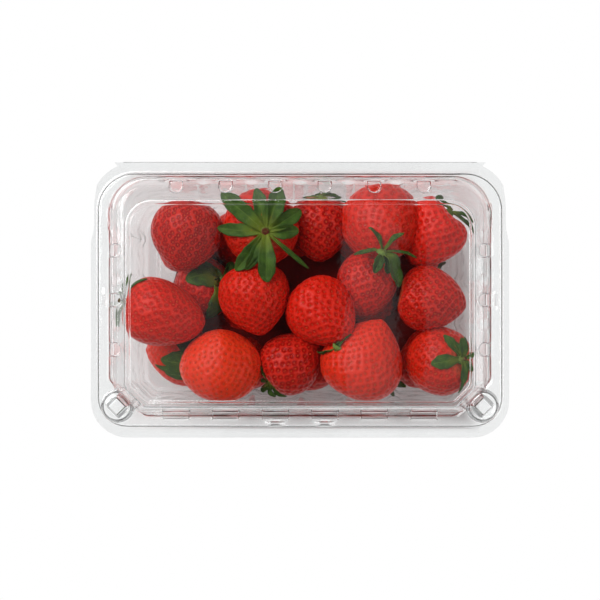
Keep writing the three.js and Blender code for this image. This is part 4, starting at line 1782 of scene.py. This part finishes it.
@dataclass
class SeedScatter:
    """Seeds set into the pits by a node tree."""

    RANDOM_INPUTS = {"Smallest": 2, "Largest": 3, "Seed": 8}  # of a Random Value node for floats
    RANDOM_FLOAT = 1

    length: float = 1.2
    width: float = 0.75
    height: float = 0.5
    smallest: float = 0.8
    largest: float = 1.15
    seed: int = 7

    def tree(self, coat: Material) -> tuple[NodeTree, dict[str, str]]:
        """Builds the tree that sets a seed on each point.

        Args:
            coat: the seeds' material.

        Returns:
            The tree, and the identifiers of its inputs by name.
        """
        inputs = {"Geometry": "Geometry", **dict.fromkeys(
            ("Length", "Width", "Height", "Smallest", "Largest"), "Float"), "Seed": "Int"}
        sheet, given, result, names = start_group(
            "seed_scatter", "GeometryNodeTree", inputs, ("Geometry", "Geometry"))
        ball = sheet.node("GeometryNodeMeshIcoSphere", {"Radius": 0.5, "Subdivisions": 1})
        size = sheet.node("ShaderNodeCombineXYZ", {
            axis: given.outputs[label] for axis, label in enumerate(("Length", "Width", "Height"))})
        shaped = sheet.node("GeometryNodeTransform", {"Geometry": ball.outputs[0], "Scale": size.outputs[0]})
        outward, along = (
            sheet.node("GeometryNodeInputNamedAttribute", {"Name": name}, data_type="FLOAT_VECTOR").outputs[0]
            for name in ("outward", "along"))
        stand = sheet.node("FunctionNodeAlignRotationToVector", {"Vector": outward}, axis="Z")
        lie = sheet.node("FunctionNodeAlignRotationToVector", {
            "Rotation": stand.outputs[0], "Vector": along}, axis="X", pivot_axis="Z")
        scale = sheet.node("FunctionNodeRandomValue", {
            number: given.outputs[label] for label, number in self.RANDOM_INPUTS.items()}, data_type="FLOAT")
        copies = sheet.node("GeometryNodeInstanceOnPoints", {
            "Points": given.outputs["Geometry"], "Instance": shaped.outputs[0],
            "Rotation": lie.outputs[0], "Scale": scale.outputs[self.RANDOM_FLOAT]})
        solid = sheet.node("GeometryNodeRealizeInstances", {0: copies.outputs[0]})
        painted = sheet.node("GeometryNodeSetMaterial", {"Geometry": solid.outputs[0], "Material": coat})
        sheet.feed(result.inputs[0], painted.outputs[0])
        return sheet.tree, names

    def build(self, name: str, beds: list[SeedBed], coat: Material) -> Object:
        """Sets a seed in every pit and dresses the piece.

        Args:
            name: the piece's name.
            beds: where the seeds lie.
            coat: their material.

        Returns:
            The piece.
        """
        thing = mesh_object(name, np.concatenate([bed.places for bed in beds]), [])
        add_attribute(thing.data, "outward", np.concatenate([bed.outward for bed in beds]))
        add_attribute(thing.data, "along", np.concatenate([bed.along for bed in beds]))
        rng = np.random.default_rng(self.seed)
        add_attribute(thing.data, "ripeness", rng.uniform(0, 1, len(thing.data.vertices)))
        tree, names = self.tree(coat)
        scatter = thing.modifiers.new("scatter", "NODES")
        scatter.node_group = tree
        values = {"Length": self.length * MM, "Width": self.width * MM, "Height": self.height * MM,
                  "Smallest": self.smallest, "Largest": self.largest, "Seed": self.seed}
        for label, value in values.items():
            scatter[names[label]] = value
        settle(thing)
        thing.data.shade_smooth()
        return dress(thing, coat, Slot.SEED, Body.TRAY, "strawberries")


@dataclass
class HeapCore:
    """The hidden middle of the heap, over which the berries lie."""

    half_length: float = 60.0
    half_width: float = 31.0
    half_height: float = 10.0
    middle: float = 18.0
    squareness: float = 0.6
    roughness: float = 1.2
    density: int = 24
    ripple: tuple[Triple, ...] = ((0.31, 0.1, 0.0), (0.0, 0.37, 0.2), (0.2, 0.0, 0.41))

    def build(self, shade: Material) -> Object:
        """Builds a rounded, slightly rough block of fruit, coloured dark as painted shade between the
        berries.

        Args:
            shade: its finish.

        Returns:
            The piece.
        """
        directions, quads = cube_ball(self.density)
        square = np.sign(directions) * np.abs(directions) ** self.squareness
        points = square * (self.half_length, self.half_width, self.half_height) + (0, 0, self.middle)
        ripple = np.sin(points @ np.array(self.ripple)).mean(axis=1)
        points += directions * (ripple * self.roughness)[:, None]
        thing = mesh_object("fruit_core", points, quads)
        return dress(thing, shade, Slot.FRUIT, Body.TRAY, "strawberries")


@dataclass(frozen=True)
class Sepal:
    """One calyx leaf: where its tip lies from the calyx's middle, and how wide it is."""

    x: float
    y: float
    z: float
    width: float


@dataclass(frozen=True)
class Calyx:
    """The leaves of one berry. Without an anchor they start at the berry's stalk end."""

    berry: Berry
    sepals: tuple[Sepal, ...]
    anchor: Triple | None = None
    stalk: float = 3.0
    stem: float = 0.85


@dataclass
class CalyxLeaves:
    """All calyx leaves in one piece, and the stalk stubs in another."""

    fruit: list[Berry]
    along: int = 16
    across: int = 8
    thickness: float = 0.35
    lift: float = 0.2
    cup: float = 0.16
    gap: float = 0.5
    rise: float = 0.8
    upward: float = 0.6
    twist: float = 0.35
    tooth: float = 0.15
    ruffle: float = 0.11
    crease: float = 0.10
    crease_half: float = 0.12
    stub_sides: int = 10
    seed: int = 41

    def outline(self, s: np.ndarray) -> np.ndarray:
        """A leaf's half width, as a share of its widest, from base to tip."""
        swell = np.sin(np.pi / 2 * np.minimum(s / 0.66, 1)) ** 1.8
        return (0.3 + 0.7 * swell) * np.maximum(1 - s ** 5.0, 0) ** 0.6

    def blade(self, calyx: Calyx, sepal: Sepal, rng: np.random.Generator) -> tuple[np.ndarray, np.ndarray]:
        """Shapes one leaf.

        Args:
            calyx: the calyx that it belongs to.
            sepal: where its tip lies, and its width.
            rng: where its curl comes from.

        Returns:
            Its grid of points and their places along and across it.
        """
        facing = calyx.berry.facing()
        start = self.base(calyx) + facing * self.rise
        tip = start + np.array([sepal.x, sepal.y, sepal.z])
        length = np.linalg.norm(tip - start)
        middle = (start + tip) / 2 + facing * length * self.lift * rng.uniform(0.7, 1.3)
        s = np.linspace(0, 1, self.along + 1)
        s = 1 - (1 - s) ** 1.3
        spine = ((1 - s) ** 2)[:, None] * start + (2 * s * (1 - s))[:, None] * middle + (s * s)[:, None] * tip
        tangent = unit(np.gradient(spine, axis=0))
        up = unit(facing + np.array([0, 0, self.upward]))
        side = unit(np.cross(tangent, up))
        normal = np.cross(side, tangent)
        twist = (rng.uniform(-self.twist, self.twist) * s)[:, None]
        side = side * np.cos(twist) + normal * np.sin(twist)
        t = np.linspace(-1, 1, self.across + 1)
        teeth = 1 - self.tooth * np.abs(np.sin(s * 4 * math.pi)) * smooth(0.3, 0.6, s)
        half = self.outline(s) * teeth * sepal.width / 2
        ruffle = self.ruffle * np.sin(s * 9 + rng.uniform(0, 6))[:, None] * np.abs(t)[None]
        crease = self.crease * np.exp(-(t / self.crease_half) ** 2)[None]
        tilt = np.sin(np.pi * s)[:, None] * (self.cup * (t * t)[None] - crease + ruffle) * sepal.width
        grid = spine[:, None] + side[:, None] * (half[:, None] * t[None])[..., None]
        points = (grid + normal[:, None] * tilt[..., None]).reshape(-1, 3)
        for _ in range(2):
            for berry in self.fruit:
                points = berry.keep_clear(points, self.gap)
        places = np.stack(np.meshgrid(s, (t + 1) / 2, indexing="ij"), -1).reshape(-1, 2)
        return points, places

    def base(self, calyx: Calyx) -> np.ndarray:
        """Where a calyx sits."""
        return np.array(calyx.anchor or calyx.berry.stalk_end())

    def build(self, calyxes: list[Calyx], green: Material) -> Object:
        """Builds every leaf in one piece.

        Args:
            calyxes: the leaves' places.
            green: their finish.

        Returns:
            The piece.
        """
        rng = np.random.default_rng(self.seed)
        blades = [self.blade(calyx, sepal, rng) for calyx in calyxes for sepal in calyx.sepals]
        quad = grid_quads(self.along, self.across)
        faces = np.concatenate([quad + k * len(points) for k, (points, _) in enumerate(blades)])
        thing = mesh_object("calyx_leaves", np.concatenate([points for points, _ in blades]), faces)
        places = np.concatenate([where for _, where in blades])
        uv = thing.data.uv_layers.new(name="leaf")
        corners = np.empty(len(thing.data.loops), np.int32)
        thing.data.loops.foreach_get("vertex_index", corners)
        uv.data.foreach_set("uv", places[corners].astype(np.float32).ravel())
        give_thickness(thing, self.thickness, 0)
        thing.data.shade_smooth()
        return dress(thing, green, Slot.LEAF, Body.TRAY, "strawberries")

    def stubs(self, calyxes: list[Calyx], wood: Material) -> Object:
        """Builds the stalk stubs: short bent stems, each on a small round boss.

        Args:
            calyxes: where they stand, with the stems' sizes.
            wood: their finish.

        Returns:
            The piece.
        """
        points, faces, torn = [], [], []
        sides, rng = self.stub_sides, np.random.default_rng(self.seed + 1)
        for calyx in calyxes:
            facing = calyx.berry.facing()
            start = self.base(calyx)
            side = unit(np.cross(facing, (0.3, 0.2, 1.0)))
            other = np.cross(facing, side)
            lean = side * rng.uniform(-0.5, 0.5) + other * rng.uniform(-0.5, 0.5)
            end, stem = 1.6 + calyx.stalk, calyx.stem
            profile = [  # radius, height and how torn
                (2.6, -0.6, 0), (2.2, 0.9, 0), (0.45 + stem, 1.4, 0.2), (stem, 1.5, 0.3),
                (0.95 * stem, 1.5 + calyx.stalk * 0.6, 0.5), (stem, end, 0.8),
                (0.65 * stem, end + 0.15, 1.0), (0.0, end, 1.0)]
            first = len(points)
            for radius, height, brown in profile:
                centre = start + facing * height + lean * max(height - 1.4, 0) ** 1.5 * 0.25
                angles = 2 * math.pi * np.arange(sides) / sides
                points += [centre + (side * math.cos(a) + other * math.sin(a)) * max(radius, 0.02)
                           for a in angles]
                torn += [brown] * sides
            faces += stack_faces(len(profile), sides, first)
        thing = mesh_object("stalk_stubs", np.array(points), faces)
        add_attribute(thing.data, "torn", np.array(torn))
        face_outwards(thing)
        thing.data.shade_smooth()
        return dress(thing, wood, Slot.LEAF, Body.TRAY, "strawberries")


def top_fruit() -> dict[str, Berry]:
    """The berries of the top layer by name."""
    return {
        "back_left": Berry((-51.4, 28.6, 50.0), 32.5, 32.0, -100, 15, 0.56, 0.14, 0.1, 2.7, 0.45),
        "star": Berry((-18.5, 33.0, 48.5), 33.5, 34, 140, -76, 0.72, 0.55, 0.2, 3.0, 0.55),
        "middle_left": Berry((-20.0, -0.2, 51.5), 33, 32.5, -80, 12, 0.66, 0.6, 0.2, 2.9, 0.7),
        "back_middle": Berry((9.0, 32.4, 42.0), 27.5, 30, -92, -5, 0.52, 0.2, 0.2, 3.2, 0.6),
        "back_large": Berry((37.3, 33.3, 50.5), 37, 33, -80, 55, 0.58, 0.6, 0.25, 3.3, 0.4),
        "under_leaves": Berry((29.0, 5.4, 43.5), 28, 31.5, -117, -12, 0.62, 0.3, 0.2, 3.0, 0.65),
        "back_right": Berry((59.8, 28.3, 45.5), 27, 30, -125, 5, 0.58, 0.72, 0.1, 3.1, 0.7,
                            (Swelling(103, 3.0, 28), Swelling(48, -1.6, 20), Swelling(-8, 0.7, 26))),
        "right": Berry((60.0, 0.6, 49.5), 29.8, 31.0, -12, 0, 0.58, 0.36, 0.2, 3.0, 0.7),
        "middle": Berry((10.8, -6.4, 53.0), 31.5, 33, -50, 25, 0.54, 0.74, 0.12, 3.3, 0.75),
        "left": Berry((-61.2, -6.4, 50.0), 31.5, 37.5, -16, 4, 0.52, 0.5, 0.2, 2.9, 0.5),
        "front_left": Berry((-36.0, -27.8, 51.0), 36, 30.5, 84, 42, 0.6, 0.95, 0.7, 3.1, 0.45,
                            (Swelling(10, 1.2, 25), Swelling(190, 0.8, 25))),
        "front_middle": Berry((-2.8, -27.4, 45.0), 28, 31, 42, 0, 0.7, 0.22, 0.25, 3.2, 0.55),
        "front_large": Berry((29.5, -25.6, 50.5), 36, 38, 65, 15, 0.72, 0.74, 0.5, 3.0, 0.55,
                             (Swelling(190, 1.4, 28),)),
        "front_right": Berry((61.4, -28.4, 46.4), 31.5, 32.5, 190, -45, 0.66, 0.42, 0.45, 3.0, 0.45),
    }


def lower_fruit() -> dict[str, Berry]:
    """The berries below: two that show between the upper ones, and the bottom layer.

    Returns:
        The berries by name.
    """
    rows = [
        (-52.5, 29, 21, 30, 31, 100, 10, 0.66), (-29, 29.5, 19.5, 29.5, 31, 60, -10, 0.7),
        (1, 29, 18.5, 27.5, 31, -20, 12, 0.72), (29, 29.5, 19, 29, 30, 110, 5, 0.62),
        (59, 29, 18.5, 28, 30, 35, -8, 0.7), (-22.5, -1.5, 19.5, 29, 31, 10, 15, 0.66),
        (5, -0.5, 19.5, 28, 30, 75, -12, 0.7), (33.5, -1, 19, 29.5, 30, -30, 10, 0.7),
        (62, -1.5, 19.5, 28, 30, 5, 8, 0.68), (-28.5, -29.4, 18.5, 28.5, 30, 200, 6, 0.7),
        (1.5, -29.4, 18.5, 28.5, 31, 190, -6, 0.7), (32, -29.2, 18.5, 29, 31, -15, 5, 0.66),
        (61, -28.4, 20, 30, 29, -30, 5, 0.7),
    ]
    layer = {
        "deep_left": Berry((-46.5, 4.5, 31.0), 28.5, 29, 205, -30, 0.7, 0.3, 0.1, 3.1),
        "deep_front": Berry((-57.5, -25.0, 24.5), 28, 32, 172, -20, 0.7, 1.0, 0.45, 3.1),
    }
    for number, (x, y, z, *shape) in enumerate(rows, start=1):
        layer[f"bottom_{number}"] = Berry((x, y, z), *shape, blush=0.34 + 0.07 * (number % 5), seed_gap=3.3)
    return layer


def calyxes(fruit: dict[str, Berry]) -> list[Calyx]:
    """The calyxes that show, leaf by leaf."""

    def star(name: str, *rows: tuple[float, float, float, float], stalk: float = 3.0, stem: float = 0.85,
             anchor: Triple | None = None) -> Calyx:
        """A calyx from rows of tip x, y and z and leaf width."""
        return Calyx(fruit[name], tuple(Sepal(*row) for row in rows), anchor, stalk, stem)

    return [
        star("star", (-19.8, 17.2, -3.5, 9.4), (-4.2, 19.2, -3, 7.6), (6.5, 20, -4, 9.6),
             (15.8, 9.8, -6, 8.6), (14.9, 0.4, -3, 8.0), (19.4, -16.5, -6, 2.6), (0.2, -23, 0.5, 9.4),
             (-8.5, -17.2, -2, 6.2), (-13.4, -17.2, -3.5, 8.4), (-21.5, 1.8, -5, 7.0), stalk=0.2, stem=1.9),
        star("under_leaves", (-6.4, 10.2, 7, 4.6), (9.0, 7.4, 7.5, 4.2), (-12.8, -1.6, -1, 2.8),
             (15.4, -3.0, -1, 2.0), (7.4, -16, -1.5, 10.5), (-3.4, -9.8, -2, 5.6), (2.6, -10, -1.5, 6.5),
             stalk=0.6, stem=1.2, anchor=(36.2, 20.9, 63.5)),
        star("back_right", (-6.6, 6.4, 3, 5.0), (11.6, -10.2, 0, 5.6), (10.8, -5.0, 1, 4.0),
             (-2, 3, -8, 4), stalk=1),
        star("left", (3.3, 13.2, 7, 3.0), (10, 9.3, 7.5, 3.2), (-2.7, -10.9, 2, 2.2), (-1, 5, 9, 3.2),
             (-1.5, -2, -11, 4)),
        star("back_middle", (-7.4, -2.8, -4, 3), (12, -2.6, -3, 3.2), (4.6, 2.4, -1, 3.4),
             (-2.4, 1.2, -3, 2.6), (5, 1, -8, 4), stalk=0.4, stem=0.6),
        star("front_left", (-9, -2.4, 4, 3.4), (10.9, -3.7, 4, 3.6), (-1, -4.5, 1, 4), (5, -3, 0, 4)),
        star("front_middle", (-3, 2, 2, 3.6), (-3, -4.5, 1, 3.6), (3, -6.5, 0, 3.8), (8, -6.5, -1, 3.6),
             (-1, 6, 3, 3.4), (4, -2, -6, 4)),
        star("front_large", (-9, -1.8, -4, 3.8), (1.5, 3, 1.5, 3.6), (6.4, 6.4, 0.5, 3.2), stalk=1,
             anchor=(16.8, -20.8, 61)),
        star("front_right", (-7.8, 10.4, 1, 5.2), (-0.6, 9.6, 3, 4.6), (-10.2, -1.4, 2.4, 4.2),
             (0.4, -11.4, 0, 4.6), (-1.4, -14.2, -4, 2.2), (6.6, 2.8, 2, 2.6), (4.8, -5.6, 0, 3.4),
             (1.5, 8, -6, 4), stalk=1.6),
        star("deep_left", (-13.6, -1.5, 3, 6.6), (-8.4, -11, -3, 4.2), (-10, 4.5, 2, 5.6), (0, -11.4, -1, 5),
             (4, 8, -2, 5)),
        star("deep_front", (-19.5, 0.5, 3, 5.6), (-17.4, -3.2, 1.5, 4.0), (-23, -1.4, 0, 2.0),
             (-13, 5, 1, 4)),
        star("bottom_12", (3, -8.5, -1, 3.6), (8.5, -4, 0, 3.6), (-6, -4, -3, 4), anchor=(41, -36, 39)),
        star("bottom_9", (4, 5, -1, 3.4), (2, -6, -2, 3.6), anchor=(63.5, 12.5, 42)),
    ]


@dataclass
class FruitHeap:
    """Every berry with its seeds, the heap's core, the calyx leaves and the stalk stubs."""

    fine: int = 52
    coarse: int = 33
    piece_size: int = 5
    low_seed: int = 100

    def build(self, skin: Material, coat: Material, green: Material,
              wood: Material) -> list[Object]:
        """Builds and dresses the heap.

        Args:
            skin: the fruit's skin.
            coat: the seeds' finish.
            green: the leaves' finish.
            wood: the stalks' finish.

        Returns:
            Its pieces.
        """
        top, low = top_fruit(), lower_fruit()
        upper = list(top.values())
        # the core's dark red is painted shade for the gaps between the berries
        pieces = [HeapCore().build(ShadedCoreFruit("deep_fruit").make())]
        top_beds, low_beds = [], []
        ball = cube_ball(self.fine)
        for start in range(0, len(upper), self.piece_size):
            batch = FruitMesh(f"fruit_top_{start // self.piece_size + 1}")
            for number, berry in enumerate(upper[start:start + self.piece_size], start=start):
                top_beds.append(batch.add(berry, number, ball))
            pieces.append(batch.build(skin))
        ball = cube_ball(self.coarse)
        batch = FruitMesh("fruit_lower")
        for number, berry in enumerate(low.values(), start=self.low_seed):
            low_beds.append(batch.add(berry, number, ball))
        pieces.append(batch.build(skin))
        pieces.append(SeedScatter().build("seeds_top", top_beds, coat))
        pieces.append(SeedScatter(seed=8).build("seeds_lower", low_beds, coat))
        stars = calyxes({**top, **low})
        leaves = CalyxLeaves([*upper, *low.values()])
        pieces.append(leaves.build(stars, green))
        pieces.append(leaves.stubs(stars, wood))
        return pieces


# ---- Studio ----------------------------------------------------------------------------------


@dataclass(frozen=True)
class Softbox:
    """A flat lamp that looks at the pack: its middle and size in metres, and its radiance."""

    name: str
    spot: Triple
    size: tuple[float, float]
    radiance: float
    level: bool = False
    target: Triple = (0.0, 0.0, 0.05)

    def build(self) -> None:
        """Adds the lamp."""
        lamp = bpy.data.lights.new(self.name, "AREA")
        lamp.shape = "RECTANGLE"
        lamp.size, lamp.size_y = self.size
        lamp.energy = self.radiance * math.pi * self.size[0] * self.size[1]
        thing = place(self.name, lamp)
        thing.location = self.spot
        if not self.level:
            aim = Vector(self.target) - Vector(self.spot)
            thing.rotation_euler = aim.to_track_quat("-Z", "Y").to_euler()


@dataclass
class Studio:
    """A white table under soft lamps, and a camera that looks straight down."""

    rim_scale: float = 0.4474e-3
    distance: float = 0.75
    rim_height: float = 0.058
    frame_pixels: int = 600
    sensor: float = 36.0
    floor_half: float = 3.0
    floor_white: float = 1.0
    floor_matt: float = 0.86
    floor_glow: float = 0.08
    floor_mirrored: float = 0.2
    floor_drop: float = 0.05
    mirror_fade: Band = Band(0.035, 0.085)
    room: Band = Band(0.3, 0.9, 0.7, 0.015)
    ambient: float = 0.1
    footprint: tuple[float, float] = (0.0785, 0.056)
    footprint_fade: Band = Band(0.0, 0.008)

    def softboxes(self) -> list[Softbox]:
        """The key lamp at the back left, a weaker fill and the level panels round the camera."""
        return [
            Softbox("key", (-0.75, 0.65, 1.15), (1.3, 1.3), 4.8),
            Softbox("fill", (0.9, -0.3, 1.0), (0.7, 0.7), 2.6),
            Softbox("panel_left", (-0.31, 0.0, 0.95), (0.46, 0.9), 0.16, level=True),
            Softbox("panel_middle", (0.068, -0.08, 0.95), (0.052, 0.36), 0.24, level=True),
            Softbox("panel_right", (0.36, 0.0, 0.95), (0.48, 0.9), 0.2, level=True),
        ]

    def floor(self) -> Object:
        """A white floor that looks evenly lit and still takes the pack's shadow.

        Returns:
            The floor. Mirrored in the film it is darker away from the pack.
        """
        half, z = self.floor_half / MM, -self.floor_drop
        points = [(-half, -half, z), (half, -half, z), (half, half, z), (-half, half, z)]
        thing = mesh_object("studio_floor", np.array(points), [(0, 1, 2, 3)])
        material = bpy.data.materials.new("studio_white")
        sheet = empty_sheet(material)
        matt = sheet.node("ShaderNodeBsdfDiffuse", {"Color": (*[self.floor_matt] * 3, 1)})
        dim = sheet.node("ShaderNodeEmission", {"Color": (1, 1, 1, 1), "Strength": self.floor_glow})
        under = sheet.node("ShaderNodeAddShader", {0: matt.outputs[0], 1: dim.outputs[0]})
        beyond = [sheet.math("SUBTRACT", sheet.math("ABSOLUTE", spot), reach)
                  for spot, reach in zip(sheet.split("Object"), self.footprint)]
        away = sheet.math("MAXIMUM", *beyond)
        path = sheet.node("ShaderNodeLightPath")
        bounced = sheet.math("MINIMUM", path.outputs["Glossy Depth"], 1.0)
        mirrored = sheet.math("MULTIPLY", self.mirror_fade.place(sheet, away), bounced)
        loss = sheet.math("MULTIPLY", mirrored, self.floor_white - self.floor_mirrored)
        glow = sheet.node("ShaderNodeEmission", {
            "Color": (1, 1, 1, 1), "Strength": sheet.math("SUBTRACT", self.floor_white, loss)})
        seen = sheet.math("SUBTRACT", 1.0, path.outputs["Is Diffuse Ray"])
        share = sheet.math("MULTIPLY", seen, self.footprint_fade.place(sheet, away))
        sheet.node("ShaderNodeOutputMaterial", {"Surface": sheet.blend(share, under, glow)})
        thing.data.materials.append(material)
        return thing

    def world(self) -> None:
        """A grey room: light walls round a dark ceiling, which leaves the film clear from above."""
        world = bpy.data.worlds.new("studio_room")
        bpy.context.scene.world = world
        sheet = empty_sheet(world)
        tone = self.room.place(sheet, sheet.split("Generated")[2])
        path = sheet.node("ShaderNodeLightPath")
        seen = sheet.math("SUBTRACT", 1.0, path.outputs["Is Diffuse Ray"])
        shown = sheet.math("MULTIPLY", seen, sheet.math("SUBTRACT", tone, self.ambient))
        back = sheet.node("ShaderNodeBackground", {
            "Color": (1, 1, 1, 1), "Strength": sheet.math("ADD", shown, self.ambient)})
        sheet.node("ShaderNodeOutputWorld", {"Surface": back.outputs[0]})

    def camera(self) -> None:
        """A camera over the pack, with +Y up in its picture."""
        camera = bpy.data.cameras.new("camera")
        camera.sensor_width = self.sensor
        camera.lens = self.sensor * self.distance / (self.frame_pixels * self.rim_scale)
        camera.clip_start = 0.01
        thing = place("camera", camera)
        thing.location = (0, 0, self.rim_height + self.distance)
        bpy.context.scene.camera = thing

    def build(self) -> None:
        """Sets the stage, and lets light through the many layers of film."""
        self.floor()
        self.world()
        self.camera()
        for softbox in self.softboxes():
            softbox.build()
        scene = bpy.context.scene
        scene.view_settings.view_transform = "Standard"
        scene.cycles.max_bounces = 24
        scene.cycles.transmission_bounces = 20
        scene.cycles.glossy_bounces = 6
        scene.cycles.diffuse_bounces = 3
        scene.cycles.transparent_max_bounces = 24


def main() -> None:
    """Builds the pack, its fruit and the studio, and logs each piece's triangle count."""
    logging.basicConfig(level=logging.INFO, format="%(name)s: %(message)s")
    Studio().build()
    film = ClearFilm("clear_film").make()
    drawn = ClearFilm("drawn_film", waves=Grain(0.009, 1.0), wave_depth=0.0003).make()
    rim = Rim()
    pieces = [TrayFilm(rim).build(drawn), LidFilm(rim).build(film), HingeWeb(rim).build(film)]
    pieces += FruitHeap().build(FruitSkin("strawberry_skin").make(), SeedCoat("seed_coat").make(),
                                LeafGreen("calyx_green").make(), StalkWood("stalk_wood").make())
    for piece in pieces:
        piece.data.calc_loop_triangles()
        LOG.info("%s: %d triangles", piece.name, len(piece.data.loop_triangles))


if __name__ == "__main__":
    main()
